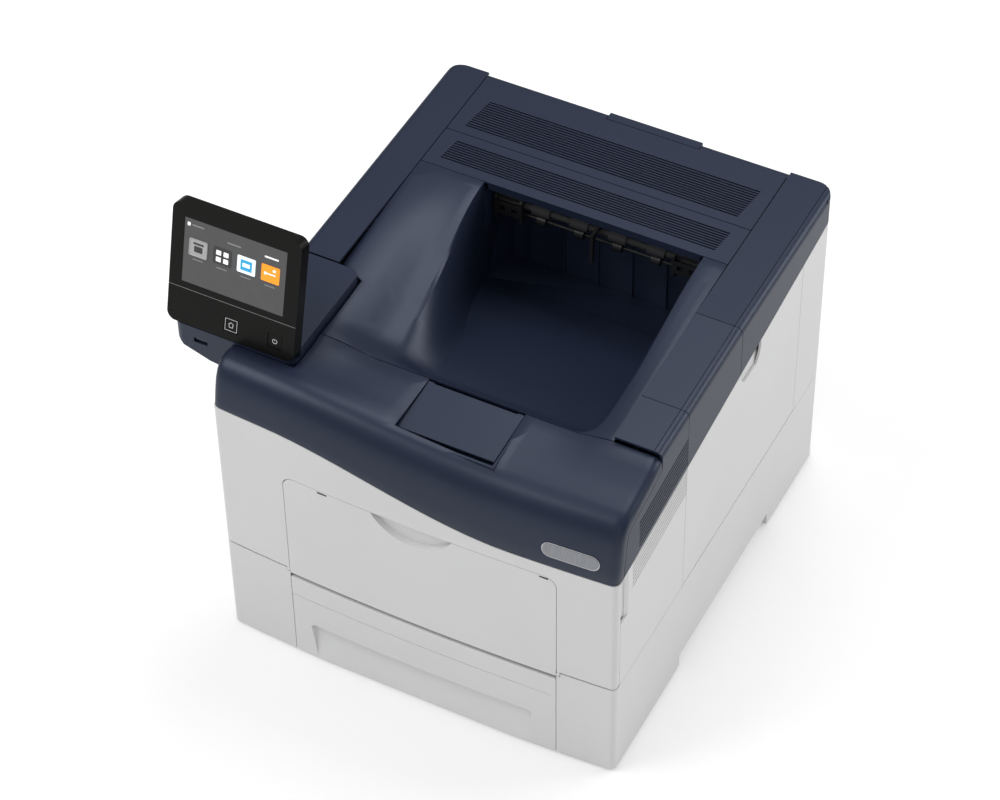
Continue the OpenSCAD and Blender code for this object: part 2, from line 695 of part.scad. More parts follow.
inlet_x = -hw + inlet_in;
inlet_z = 40;
inlet_w = 28;
inlet_h = 20;
port_in = 30.5;
port_x = -hw + port_in;
port_w = 14;
port_z0 = 66;
port_p = 20;
port_h = 13;
module rear_cutouts() {
  block([inlet_x - inlet_w / 2 - seat, hd - wall - eps, inlet_z - inlet_h / 2 - seat],
      [inlet_x + inlet_w / 2 + seat, hd + eps, inlet_z + inlet_h / 2 + seat]);
  for (i = [0, 1]) block([port_x - port_w / 2 - seat, hd - wall - eps, port_z0 + i * port_p - seat],
      [port_x + port_w / 2 + seat, hd + eps, port_z0 + i * port_p + port_h + seat]);
}

// Rear door on pins near its foot, with the handle that reaches up through the notch in the top panel
rd_pin_y = hd - wall;
rd_pin_z = rd_z0 + wall;
module rear_door() color(navy) difference() {
  union() {
    block([rd_x0, hd - wall, rd_pin_z], [rd_x1, hd, rear_z0 - seam - play]);
    block([tab_x0 + play, tab_y + play, rear_z0 - rib * 4], [tab_x1 - play, hd, body_h]);
    rod(rd_x0, rd_x1, rd_pin_y, rd_pin_z, wall);
    for (x = [rd_x0, rd_x1 - wall]) block([x, hd - wall - rib * 3, rd_z0 + rib * 6], [x + wall,
        hd - wall / 2, rear_z0 - rib * 4]);
    // Curved paper guide ribs on the inside
    for (i = [0 : guide_n]) let (x = mix(rd_x0 + rib * 6, rd_x1 - rib * 6, i / guide_n))
      across(x, x + web) polygon([[hd - wall / 2, rd_z0 + rib * 8], [hd - wall - rib * 2, rd_z0 + rib * 12],
        [hd - wall - rib * 3, rear_z0 - rib * 12], [hd - wall / 2, rear_z0 - rib * 6]]);
    rod(rd_x0 - play - pin_len, rd_x1 + play + pin_len, rd_pin_y, rd_pin_z, pin_r);
  }
  // Finger hollow under the handle's tab
  block([tab_x0 + rib, tab_y, rear_z0], [tab_x1 - rib, hd - wall, body_h - wall]);
}
guide_n = 8;
pin_len = 2.2;

// Steel frame: two plates, cross stays and the toner shelf
plate_t = 1.5;
plate_out_l = 5;
plate_out_r = 4.4;
plate_l = by_x0 - plate_out_l;
plate_r = by_x1 + plate_out_r;
frame_in = 27;
frame_y0 = -hd + frame_in;
frame_y1 = hd - frame_in;
frame_drop = 62;
frame_front_drop = 116;
frame_top = body_h - frame_drop;
frame_front_top = body_h - frame_front_drop;
shelf_up = 17.6;
shelf_z = skirt_h + shelf_up;
shelf_in0 = 12;
shelf_in1 = 8;
shelf_y0 = strip_y0 + shelf_in0;
shelf_y1 = door_y1 - shelf_in1;
shelf_side = 6.5;
shelf_x1 = hw - shelf_side;
stay = 6;
eng_in = 25;
eng_up = 59.6;
eng_y = nose_y + eng_in;
eng_z = skirt_h + eng_up;
eng_n = belt_r + drum_r + seat;
fus_back = 79;
fus_up = 47.6;
fus_front = 22;
fus_rear = 20;
fus_y = hd - fus_back;
fus_z = skirt_h + fus_up;
fus_y0 = fus_y - fus_front;
fus_y1 = fus_y + fus_rear;
belt_len = (fus_y0 - eng_y - fuse_gap) / cos(engine_tilt);
drum_pitch = (belt_len - drum_r + seat * 2) / 4;
// Place in the tilted engine: along the belt, then square to it
module engine(s, n) translate([0, eng_y, eng_z]) rotate([-engine_tilt, 0, 0]) translate([0, s, n]) children();
reg_in = 55;
reg_up = 23.6;
reg_y = -hd + reg_in;
reg_z = skirt_h + reg_up;
pick_in = 81;
pick_up = 7.6;
pick_y = -hd + pick_in;
pick_z = skirt_h + pick_up;
shaft_r = 3;
module bearing_holes() {
  for (p = [[reg_y, reg_z], [pick_y, pick_z]]) rod(-hw, hw, p[0], p[1], shaft_r + fit);
}
module engine_frame() color(steel) difference() {
  union() {
    for (x = [plate_l - plate_t, plate_r]) across(x, x + plate_t)
      polygon([[frame_y0, bay_z], [frame_y1, bay_z], [frame_y1, frame_top], [nose_y / 2, frame_top],
        [nose_y, frame_front_top], [frame_y0 + stay, frame_front_top]]);
    for (p = [[frame_y1 - stay, tray_front_h + stay], [reg_y - stay, frame_front_top - stay * 2],
        [frame_y1 - stay, frame_top - stay * 2]])
      block([plate_l - eps, p[0], p[1]], [plate_r + eps, p[0] + stay, p[1] + stay]);
    // Rails that carry the scanner
    for (x = [plate_l - eps, plate_r - stay]) engine(0, eng_n + scan_n - web - seat)
      translate([x, 0, 0]) cube([stay + eps, scan_l, web]);
    // Shelf for the toner cartridges, with its front and rear brackets
    block([plate_r, shelf_y0, shelf_z], [shelf_x1, shelf_y1, shelf_z + plate_t]);
    for (y = [shelf_y0, shelf_y1 - plate_t]) across(plate_r, plate_r + rib) box2(y, shelf_z - rib * 4,
        y + plate_t, shelf_z + plate_t / 2);
    // Fixed gear post on the drive side
    rod(gear_x0 - rib, plate_l, gear_y, gear_z, shaft_r);
  }
  bearing_holes();
  // Service window in the left plate behind the gears
  across(plate_l - plate_t - eps, plate_l + eps) round2(frame_y1 - rib * 20, frame_top - rib * 20,
      frame_y1 - rib * 4, frame_top - rib * 8, rib);
}

scan_n = 32;
scan_t = 36;
scan_short = 15.4;
scan_l = belt_len - scan_short;
module scanner_unit() color(dark) engine(0, eng_n + scan_n) {
  difference() {
    across(plate_l + seat, plate_r - seat) round2(0, 0, scan_l, scan_t, rib);
    // Recessed lid round the mirror motor
    translate([mix(plate_l, plate_r, 0.5), scan_l / 2, scan_t - wall]) cylinder(h = scan_t, r = scan_t,
        $fn = 48);
  }
  translate([mix(plate_l, plate_r, 0.5), scan_l / 2, scan_t - wall - eps]) cylinder(h = wall,
      r = scan_t / 2, $fn = 48);
}

belt_in = 18;
belt_x0 = plate_l + belt_in;
belt_x1 = plate_r - belt_in;
module belt_unit() color(dark) engine(0, 0) {
  across(belt_x0, belt_x1) {
    translate([0, 0]) circle(belt_r, $fn = 48);
    translate([belt_len, 0]) circle(belt_r, $fn = 48);
    box2(0, -belt_r, belt_len, belt_r);
  }
  for (x = [[plate_l + seat, belt_x0], [belt_x1, plate_r - seat]])
    across(x[0], x[1]) round2(-rib, -belt_r + rib, belt_len + rib, belt_r - rib, rib);
}
function drum_s(i) = drum_pitch / 2 + i * drum_pitch;
unit_gap = 8;
unit_w = (drum_pitch - unit_gap) / 2;
unit_up = 29;
unit_low = 4;
module imaging_units() color(dark) for (i = [0 : 3]) engine(drum_s(i), eng_n) difference() {
  across(plate_l + seat, plate_r - seat) difference() {
    round2(-unit_w, -unit_low, unit_w, unit_up, rib);
    circle(shaft_r + fit, $fn = 32);
  }
  rod(belt_x0 - rib, belt_x1 + rib, 0, 0, drum_r + seat * 2, 48);
  block([belt_x0 - rib, -drum_r - seat * 2, -unit_low - eps], [belt_x1 + rib, drum_r + seat * 2, 0]);
}
module drum(i) color([0.15, 0.4, 0.45]) engine(drum_s(i), eng_n) {
  rod(belt_x0, belt_x1, 0, 0, drum_r, 48);
  rod(belt_x0 - rib * 3, belt_x1 + rib * 3, 0, 0, shaft_r);
}
module drum_1() drum(0);
module drum_2() drum(1);
module drum_3() drum(2);
module drum_4() drum(3);

// Upright toner cartridges behind the toner door
toner_end = 3;
toner_pitch = (shelf_y1 - shelf_y0 - toner_end * 2) / 4;
toner_w = toner_pitch - toner_gap;
toner_side = 9.5;
toner_x0 = plate_r + toner_end;
toner_x1 = hw - toner_side;
toner_head = 68.2;
toner_h = body_h - toner_head - shelf_z - plate_t - seat;
toner_y = (shelf_y0 + shelf_y1) / 2;
knob_r = 13;
knob_t = 4;
module toner(i, c) {
  y = toner_y + (i - 1.5) * toner_pitch;
  z = shelf_z + plate_t + seat;
  color(dark) back(y - toner_w / 2, y + toner_w / 2) round2(toner_x0, z, toner_x1, z + toner_h, rib);
  color(c) {
    rod(toner_x1 - eps, toner_x1 + knob_t, y, z + toner_h * 0.72, knob_r, 40);
    block([toner_x1 - eps, y - rib, z + toner_h * 0.16], [toner_x1 + knob_t, y + rib, z + toner_h * 0.5]);
  }
}
module toner_1() toner(0, [0.95, 0.8, 0.1]);
module toner_2() toner(1, [0.8, 0.1, 0.45]);
module toner_3() toner(2, [0.1, 0.55, 0.8]);
module toner_4() toner(3, [0.1, 0.1, 0.1]);

// Fuser: two end plates joined by a hood and a lower beam, rollers between them
fus_nip = fuser_r * 2 + seat;
fus_end = 8;
module fuser_frame() color(dark) difference() {
  across(plate_l + seat, plate_r - seat) round2(fus_y0, fus_z - fus_nip - fuser_r - rib, fus_y1,
      fus_z + fuser_r + rib, rib);
  for (z = [fus_z, fus_z - fus_nip]) {
    rod(plate_l + seat + fus_end, plate_r - seat - fus_end, fus_y, z, fuser_r + seat * 2, 48);
    rod(-hw, hw, fus_y, z, shaft_r + fit);
  }
  // Paper way through the nip
  block([belt_x0, fus_y0 - eps, fus_z - fus_nip / 2 - rib], [belt_x1, fus_y1 + eps,
      fus_z - fus_nip / 2 + rib]);
}
module fuser_roller(z) {
  rod(belt_x0 - rib, belt_x1 + rib, fus_y, z, fuser_r, 48);
  rod(plate_l + seat * 2, plate_r - seat * 2, fus_y, z, shaft_r);
}
module heat_roller() color([0.7, 0.3, 0.15]) fuser_roller(fus_z);
module pressure_roller() color(grey) fuser_roller(fus_z - fus_nip);

// Drive on the left plate: motor, pinion and the large gear on its post
motor_in = 18;
motor_up = 109.6;
motor_y = strip_y1 + motor_in;
motor_z = skirt_h + motor_up;
motor_r = 21;
motor_l = 26;
gear_out = 42;
gear_x0 = plate_l - gear_out;
gear_w = 8;
pinion_pr = pinion_teeth * tooth_m / 2;
gear_pr = gear_teeth * tooth_m / 2;
mesh_gap = 0.35;
gear_y = motor_y - (pinion_pr + gear_pr + mesh_gap) * 0.8;
gear_z = motor_z - (pinion_pr + gear_pr + mesh_gap) * 0.6;
mesh_angle = atan2(0.6, 0.8);
root_share = 0.94;
add_share = 0.86;
module toothed(n, phase, bore) difference() {
  pr = n * tooth_m / 2;
  union() {
    circle(pr - tooth_m * root_share, $fn = 64);
    for (i = [0 : n - 1]) rotate(phase + i * 360 / n)
      polygon([[pr - tooth_m * 1.2, -tooth_m * 0.85], [pr, -tooth_m * 0.72], [pr + tooth_m * add_share,
          -tooth_m * 0.3],
        [pr + tooth_m * add_share, tooth_m * 0.3], [pr, tooth_m * 0.72], [pr - tooth_m * 1.2,
            tooth_m * 0.85]]);
  }
  circle(bore + fit, $fn = 32);
}
motor_shaft = 2.5;
module main_motor() color(steel) {
  rod(plate_l - plate_t - seat - rib, plate_l - plate_t - seat, motor_y, motor_z, motor_r + rib, 48);
  rod(plate_l - plate_t - seat - motor_l, plate_l - plate_t - seat - eps, motor_y, motor_z, motor_r, 48);
  rod(gear_x0 - eps, plate_l - plate_t - motor_l, motor_y, motor_z, motor_shaft);
}
module motor_pinion() color([0.75, 0.62, 0.3]) translate([0, motor_y, motor_z]) across(gear_x0,
    gear_x0 + gear_w)
  toothed(pinion_teeth, 180 + mesh_angle, motor_shaft);
module drive_gear() color([0.92, 0.92, 0.88]) translate([0, gear_y, gear_z]) {
  across(gear_x0 + seat, gear_x0 + gear_w - seat) toothed(gear_teeth, mesh_angle + 180 / gear_teeth, shaft_r);
  across(gear_x0 + gear_w - seat - eps, plate_l - plate_t - seat) difference() {
    circle(shaft_r * 3, $fn = 40);
    circle(shaft_r + fit, $fn = 32);
  }
}

// Mains supply with its inlet, and the controller board with its sockets
psu_side = 16.5;
psu_x0 = -hw + psu_side;
psu_x1 = plate_l - unit_gap;
psu_back = 31;
psu_l = 160;
psu_y1 = hd - psu_back;
psu_y0 = psu_y1 - psu_l;
psu_h = 44;
module power_supply() color(steel) {
  block([psu_x0, psu_y0, bay_z + seat], [psu_x1, psu_y1, bay_z + seat + psu_h]);
  color(black) difference() {
    block([inlet_x - inlet_w / 2, psu_y1 - eps, inlet_z - inlet_h / 2], [inlet_x + inlet_w / 2,
        hd - wall / 2, inlet_z + inlet_h / 2]);
    block([inlet_x - inlet_w / 2 + rib, hd - inlet_h * 0.7, inlet_z - inlet_h / 2 + rib],
        [inlet_x + inlet_w / 2 - rib, hd, inlet_z + inlet_h / 2 - rib]);
  }
  // Prongs of the inlet
  for (i = [-1, 0, 1]) block([inlet_x + i * rib * 2 - web / 2, hd - inlet_h * 0.75, inlet_z - web * 1.5],
      [inlet_x + i * rib * 2 + web / 2, hd - wall - rib, inlet_z + web * 1.5]);
}
board_in = 20.5;
board_l = 104;
board_high = 172;
board_x = -hw + board_in;
board_y0 = psu_y1 - board_l;
board_z1 = bay_z + board_high;
module controller_board() {
  color([0.1, 0.35, 0.2]) block([board_x - web, board_y0, bay_z + psu_h + seat * 2], [board_x, psu_y1,
      board_z1]);
  color(steel) for (i = [0, 1]) difference() {
    union() {
      block([board_x - eps, psu_y1 - rib * 4, port_z0 + i * port_p], [port_x + port_w / 2, hd - wall - seat,
          port_z0 + i * port_p + port_h]);
      block([port_x - port_w / 2, psu_y1, port_z0 + i * port_p], [port_x + port_w / 2, hd - wall / 2,
          port_z0 + i * port_p + port_h]);
    }
    block([port_x - port_w / 2 + web, hd - rib * 4, port_z0 + i * port_p + web], [port_x + port_w / 2 - web,
        hd, port_z0 + i * port_p + port_h - web]);
  }
  // Heat sink fins
  color(grey) for (i = [0 : 7]) block([board_x - eps, board_y0 + rib * 4 + i * rib * 2,
      board_z1 - rib * 22], [board_x + rib * 4, board_y0 + rib * 4 + i * rib * 2 + web,
      board_z1 - rib * 8]);
}

// Fan behind the rear vents
fan_t = 15;
fan_y1 = hd - wall - seat;
module fan_frame() color(black) difference() {
  back(fan_y1 - fan_t, fan_y1) difference() {
    round2(fan_x - fan_w / 2, fan_z - fan_w / 2, fan_x + fan_w / 2, fan_z + fan_w / 2, rib);
    difference() {
      translate([fan_x, fan_z]) circle(fan_r, $fn = 48);
      translate([fan_x, fan_z]) circle(fan_r / 3, $fn = 32);
      for (a = [0, 90]) translate([fan_x, fan_z]) rotate(a) box2(-fan_r, -web, fan_r, web);
    }
  }
  rod_y(fan_y1 - fan_t - eps, fan_y1 - rib, fan_x, fan_z, fan_r, 48);
}
blade_n = 7;
module fan_rotor() color(dark) translate([fan_x, fan_y1 - rib - seat, fan_z]) rotate([90, 0, 0]) {
  cylinder(h = fan_t - rib * 2, r = fan_r / 2.6, $fn = 40);
  for (i = [0 : blade_n - 1]) rotate(i * 360 / blade_n) translate([0, 0, rib]) rotate([35, 0, 0])
    translate([fan_r / 3, -web / 2, -rib]) cube([fan_r * 0.58, web, rib * 2]);
}

// Exit rollers under the lid
exit_in_l = 3.5;
exit_in_r = 3.6;
guide_l0 = well_x0 + exit_in_l;
guide_r1 = well_x1 - exit_in_r;
guide_w = 29;
exit_in = 7;
exit_d = 26;
exit_axis = 8;
exit_low = 34;
exit_y0 = lid_y + exit_in;
exit_y1 = exit_y0 + exit_d;
exit_y = exit_y0 + exit_axis;
exit_zc = body_h - exit_low;
exit_r = 7;
exit_pin = 5;
module exit_unit() color(black) difference() {
  union() {
    for (x = [guide_l0, guide_r1 - guide_w]) {
      across(x, x + rib) round2(exit_y0, exit_zc - exit_r * 2, exit_y1, exit_zc + exit_r * 2, rib);
      across(x + guide_w - rib, x + guide_w) round2(exit_y0, exit_zc - exit_r * 2, exit_y1,
          exit_zc + exit_r * 2, rib);
      block([x, exit_y1 - rib, exit_zc - exit_r * 2 + rib], [x + guide_w, exit_y1,
          exit_zc + exit_r * 2 - rib]);
      block([x, exit_y0 + rib, exit_zc + exit_r * 2 - rib * 1.2], [x + guide_w, exit_y1 - rib / 2,
          exit_zc + exit_r * 2]);
      // Front plate with its small windows
      difference() {
        block([x, exit_y0 - seat, exit_zc - exit_r], [x + guide_w, exit_y0 + web, exit_zc + exit_r]);
        for (k = [0, 1]) block([x + rib * 2 + k * rib * 4, exit_y0 - eps, exit_zc - rib],
            [x + rib * 4 + k * rib * 4, exit_y0 + rib, exit_zc + rib]);
      }
    }
    // Rear beam that ties the two guides and carries the flag
    block([guide_l0 + eps, exit_y1 - rib, exit_zc + exit_r], [guide_r1 - eps, exit_y1,
        exit_zc + exit_r * 2 - rib]);
    for (x = [flag_x - flag_w, flag_x + flag_w - rib]) block([x, flag_y - rib, flag_z - rib], [x + rib,
        exit_y1 - rib / 2, flag_z + rib]);
  }
  rod(guide_l0 - eps, guide_r1 + eps, exit_y, exit_zc + exit_up, shaft_r + fit);
  rod(guide_l0 - eps, guide_r1 + eps, exit_y, exit_zc - exit_dn, shaft_r / 2 + fit);
  rod(guide_l0 - eps, guide_r1 + eps, flag_y, flag_z, shaft_r / 2 + fit);
}
exit_up = 5;
exit_dn = 6;
nip_r = 5.4;
module exit_drive_shaft() color(dark) {
  rod(guide_l0 + seat, guide_r1 - seat, exit_y, exit_zc + exit_up, shaft_r);
  for (i = [0 : 3]) let (x = mix(guide_l0 + guide_w + rib * 3, guide_r1 - guide_w - rib * 3 - exit_roll_w,
      i / 3))
    rod(x, x + exit_roll_w, exit_y, exit_zc + exit_up, nip_r, 40);
}
exit_roll_w = 18;
module exit_pinch_shaft() color(black) {
  rod(guide_l0 + seat, guide_r1 - seat, exit_y, exit_zc - exit_dn, shaft_r / 2);
  for (i = [0 : 3]) let (x = mix(guide_l0 + guide_w + rib * 3, guide_r1 - guide_w - rib * 3 - exit_roll_w,
      i / 3) + exit_roll_w / 4)
    rod(x, x + exit_roll_w / 2, exit_y, exit_zc - exit_dn, nip_r - seat, 40);
}
flag_x = (guide_l0 + guide_r1) / 2;
flag_w = 9;
flag_y = exit_y1 - rib * 2 - exit_pin / 2;
flag_z = exit_zc + exit_r + rib;
flag_len = 40;
module exit_flag() color(black) {
  rod(flag_x - flag_w, flag_x + flag_w, flag_y, flag_z, shaft_r / 2);
  rod(flag_x - flag_w + rib + seat, flag_x + flag_w - rib - seat, flag_y, flag_z, rib, 24);
  // Lever that hangs in front of the rollers' nip
  across(flag_x - rib / 2, flag_x + rib / 2) polygon([[flag_y - rib, flag_z + rib], [flag_y + rib / 2,
      flag_z + rib], [flag_y + rib / 2, flag_z - rib / 2],
    [exit_y0 - rib, flag_z - rib / 2], [exit_y0 - rib * 2, exit_zc - flag_len / 2], [exit_y0 - rib * 3.4,
        exit_zc - flag_len / 2],
    [exit_y0 - rib * 3, flag_z + rib]]);
}

// Pedestal of the control panel, overhanging the left side
ped_top = body_h;
ped_high_l = 34;
ped_high_r = 46;
ped_low_l = ped_top - ped_high_l;
ped_low_r = ped_top - ped_high_r;
ped_r = 9;
ped_groove = 1.2;
usb_in = 27.5;
usb_drop = 22.5;
usb_x = ped_x0 + usb_in;
usb_w = 14;
usb_z = ped_top - usb_drop;
usb_h = 5.5;
module pedestal() color(navy) difference() {
  union() {
    intersection() {
      translate([0, 0, ped_low_r]) linear_extrude(ped_top - ped_low_r) round2(ped_x0, ped_y0,
          ped_x1 - ped_groove, ped_y1 - ped_groove, ped_r);
      back(ped_y0 - eps, ped_y1) polygon([[ped_x0, ped_top], [ped_x1, ped_top], [ped_x1, left_z1 + seam],
          [-hw + wall, left_z1 + seam],
        [-hw - seam, left_z1 + seam], [-hw - seam, ped_low_r], [mix(ped_x0, -hw, 0.6), ped_low_r + rib],
            [ped_x0 + ped_r, ped_low_l], [ped_x0, ped_low_l + ped_r]]);
    }
    ears();
  }
  // Seat of the control panel's lower edge
  lean() block([-panel_t, -panel_t, foot_gap - play], [panel_w + panel_t, panel_t + play, panel_t * 2]);
  // Hollow above the supporting deck
  block([-hw + wall * 2, hinge_gy, 0], [ped_x1 - wall * 2, ped_y1 - wall * 2, ped_top - wall]);
  for (x = hinge_xs) rod(x[0] - eps, x[1] + eps, hinge_gy, hinge_gz, pin_r + fit);
  // Socket for a memory stick
  block([usb_x - usb_w / 2, ped_y0 - eps, usb_z - usb_h / 2], [usb_x + usb_w / 2, ped_y0 + usb_w,
      usb_z + usb_h / 2]);
}
// Hinge behind the panel: ears on the pedestal, one knuckle of the panel between them
panel_sink = 8;
panel_z0 = ped_top - panel_sink;
hinge_in = 3.6;
hinge_up = 16;
hinge_w = 14;
hinge_in_l = 12;
hinge_in_r = 15;
hinge_xs = [[ped_x0 + hinge_in_l, ped_x0 + hinge_in_l + hinge_w], [ped_x1 - hinge_in_r - hinge_w,
    ped_x1 - hinge_in_r]];
ear_r = 3;
hinge_gy = ped_y0 + (panel_t + hinge_in) * cos(panel_tilt) + hinge_up * sin(panel_tilt);
hinge_gz = panel_z0 - (panel_t + hinge_in) * sin(panel_tilt) + hinge_up * cos(panel_tilt);
module ears() for (x = hinge_xs, k = [x[0], x[1] - ear_r]) {
  rod(k, k + ear_r, hinge_gy, hinge_gz, ear_r);
  block([k, hinge_gy - ear_r * 0.7, ped_top - wall], [k + ear_r, hinge_gy + ear_r * 0.8, hinge_gz]);
}

// Control panel, modelled upright at its foot and leaned back about its hinge
face_out = 7;
face_x0 = ped_x0 - face_out;
screen_x0 = 13;
screen_w = 104;
screen_z0 = 45;
screen_h = 66;
screen_t = 1;
key_z = 38;
home_x = 66;
power_x = 111;
key_up = 17;
power_up = 17;
key_s = 14;
foot_gap = 1.5;
module lean() translate([0, ped_y0, panel_z0]) rotate([-panel_tilt, 0, 0]) translate([face_x0, 0,
    0]) children();
module key_hole(x, z, g) translate([x - key_s / 2 - g, -eps, z - key_s / 2 - g]) cube([key_s + g * 2,
    panel_t * 0.6 + eps, key_s + g * 2]);
module display() color(black) {
  lean() difference() {
    back(0, panel_t) round2(0, foot_gap, panel_w, panel_h, ped_r);
    translate([screen_x0, -eps, screen_z0]) cube([screen_w, screen_t + eps, screen_h]);
    key_hole(home_x, key_up, seat);
    key_hole(power_x, power_up, seat);
    // Fine line between the screen zone and the key zone
    translate([-eps, -eps, key_z]) cube([panel_w + eps * 2, eps + seat, seat * 2]);
  }
  for (x = hinge_xs) {
    rod(x[0] + ear_r + seat, x[1] - ear_r - seat, hinge_gy, hinge_gz, ear_r);
    rod(x[0] + seat, x[1] - seat, hinge_gy, hinge_gz, pin_r);
    lean() translate([x[0] + ear_r + seat * 2 - face_x0, panel_t - eps, hinge_up - ear_r * 0.8])
      cube([x[1] - x[0] - (ear_r + seat * 2) * 2, hinge_in + eps, ear_r * 1.6]);
  }
}
module screen() color([0.3, 0.3, 0.3]) lean() translate([screen_x0 + seat / 2, seat / 2,
    screen_z0 + seat / 2])
  cube([screen_w - seat, screen_t - seat / 2, screen_h - seat]);
module key(x, z) color(black) lean() translate([x - key_s / 2, seat, z - key_s / 2])
  cube([key_s, panel_t * 0.6 - button_travel - seat * 2, key_s]);
module home_button() key(home_x, key_up);
module power_button() key(power_x, power_up);

// Front cover: the lofted shell, its flap pocket and the cut-out round the pedestal
cover_cols_shares = [0, 0.001, 0.004, 0.009, 0.017, 0.03, 0.06, 0.1, 0.14, 0.18, 0.215, 0.25, 0.3, 0.35,
    0.4, 0.45, 0.5, 0.55, 0.6, 0.65,
  0.7, 0.75, 0.8, 0.84, 0.88, 0.92, 0.95, 0.97, 0.983, 0.991, 0.996, 0.999, 1];
rim_h = 5;
curl_r = 8;
flap_mid = 22;
flap_w = 96;
flap_x0 = flap_mid - flap_w / 2;
flap_x1 = flap_mid + flap_w / 2;
flap_len = 60;
flap_tilt = 3.6;
flap_z = nose_top - nose_dip;
flap_gap = 4;
pocket_d = 12;
function curl(x) = let (d = max(curl_r - (hw - abs(x)), 0)) curl_r - sqrt(max(curl_r * curl_r - d * d, 0));
function cover_row(i) = [for (s = cover_cols_shares) let (
  x = mix(-hw, hw, s), k = min(max(i, 0), nose_n),
  a = nose_point(max(k - 1, 0), x, seam / 2), b = nose_point(min(k + 1, nose_n), x, seam / 2),
  p = nose_point(k, x, seam / 2), n = turn([b[1] - a[1], b[2] - a[2]]),
      c = curl(x) + (abs(x) >= hw ? rim_h : 0))
  [x, p[1] - n[0] * c, p[2] - n[1] * c * (k == 0 ? 0 : 1)]];
module at_flap(z = 0) translate([0, nose_y, flap_z + z]) rotate([flap_tilt, 0, 0]) children();
module front_cover() color(navy) difference() {
  union() {
    sheet([for (i = [0 : nose_n]) cover_row(i)], wall);
    // Pocket under the paper stop
    at_flap() difference() {
      block([flap_x0 - wall, -flap_len - flap_gap - wall, -pocket_d], [flap_x1 + wall, -seam, -seam]);
      block([flap_x0, -flap_len - flap_gap, -pocket_d + wall], [flap_x1, 0, eps]);
    }
  }
  at_flap() block([flap_x0, -flap_len - flap_gap, -pocket_d + wall], [flap_x1, eps, pocket_d]);
  at_flap() rod(flap_x0 - wall * 0.75, flap_x1 + wall * 0.75, -flap_pin, -flap_pin, pin_r + fit * 2, 24);
  block([-hw - eps, nose_y + fit, 0], [hw + eps, 0, body_h * 2]);
  // Clear of the panel pedestal
  block([-hw - eps, ped_y0 - play * 2, line_right], [ped_x1 + play, 0, body_h * 2]);
}
flap_pin = 3;
flap_t = 2.4;
module paper_stop() color(navy) at_flap() {
  intersection() {
    across(flap_x0 + play, flap_x1 - play) round2(-flap_len, -flap_t - seat, -play - web, -seat,
        flap_t / 2 - seat / 2);
    block([-hw, -deep, -pocket_d], [hw, 0, 0]);
  }
  across(flap_x0 + play, flap_x0 + play + rib * 2) round2(-flap_pin - lug / 2 - seat, -flap_pin - lug / 2,
      -flap_pin + lug / 2 + seat, -seat, web / 2);
  across(flap_x1 - play - rib * 2, flap_x1 - play) round2(-flap_pin - lug / 2 - seat, -flap_pin - lug / 2,
      -flap_pin + lug / 2 + seat, -seat, web / 2);
  rod(flap_x0 - wall * 0.6, flap_x0 + rib, -flap_pin, -flap_pin, pin_r);
  rod(flap_x1 - rib, flap_x1 + wall * 0.6, -flap_pin, -flap_pin, pin_r);
}

// White front of the door with the opening of the bypass door
door_up = 2.2;
door_z1 = skirt_h + door_up;
by_pin_out = 0.5;
by_pin_up = 4.4;
by_pin_y = -hd - by_pin_out;
by_pin_z = by_z0 + by_pin_up;
boss_r = 3.4;
front_in = 14;
module front_skin() difference() {
  union() {
    intersection() {
      ring(door_z1, body_h);
      back(-deep, 0) front_below(seam / 2);
      block([-deep, -deep, 0], [deep, door_rear_y, body_h]);
      // Lower rear corners rounded about the hinge
      union() {
        rod(-deep, deep, door_ax_y, door_ax_z, door_rear_y - door_ax_y, 64);
        block([-deep, -deep, 0], [deep, door_ax_y, body_h]);
        block([-deep, -deep, door_ax_z], [deep, 0, body_h]);
      }
    }
    // Stiffening flange behind the bypass opening
    intersection() {
      translate([0, 0, door_ax_z + rib * 5]) linear_extrude(by_z1 - door_ax_z - rib * 4) plan(wall / 2);
      union() for (x = [by_x0 - play - wall, by_x1 + play]) block([x, -deep, 0], [x + wall,
          flush_y + front_in, body_h]);
    }
    // Bosses for the bypass hinge and arms for the door's own pins
    for (x = [by_x0 - play - boss_w, by_x1 + play]) {
      rod(x, x + boss_w, by_pin_y, by_pin_z, boss_r, 40);
      block([x, by_pin_y - web, by_pin_z], [x + boss_w, by_pin_y + boss_r, door_ax_z]);
    }
    for (a = door_arms) {
      block([a[0], door_ax_y - boss_r + seat, door_ax_z - boss_r], [a[0] + arm_w, door_ax_y + boss_r,
          door_ax_z + boss_r * 3]);
    }
    // Latch hooks near the top
    for (x = [by_x0, by_x1 - rib * 2]) block([x, flush_y - wall, by_z1 + rib], [x + rib * 2,
        flush_y + front_in, by_z1 + rib * 2]);
  }
  back(-deep, flush_y + eps * 6) round2(by_x0 - play, by_z0 - by_r * 2, by_x1 + play, by_z1 + play, by_r);
  for (x = [by_x0 - play - boss_w, by_x1 + play]) rod(x - eps, x + boss_w + eps, by_pin_y, by_pin_z,
      pin_r + fit);
  // Pockets in the skin round the brackets' noses
  for (x = door_lugs) rod(x - seat, x + lug_w + seat, door_ax_y, door_ax_z, lug + seat, 48);
}
door_rear_y = side_y0 - play * 2.2;
boss_w = 3;
arm_w = 2;
door_arms = [[by_x0 - door_pin_in + seat, by_x0 - door_pin_in - lug_w + seat],
    [by_x1 + door_pin_in - seat - arm_w, by_x1 + door_pin_in - seat - arm_w]];
module front_panel() color(pale) union() {
  front_skin();
  for (a = door_arms) rod(a[1], a[1] + arm_w + lug_w, door_ax_y, door_ax_z, pin_r);
}

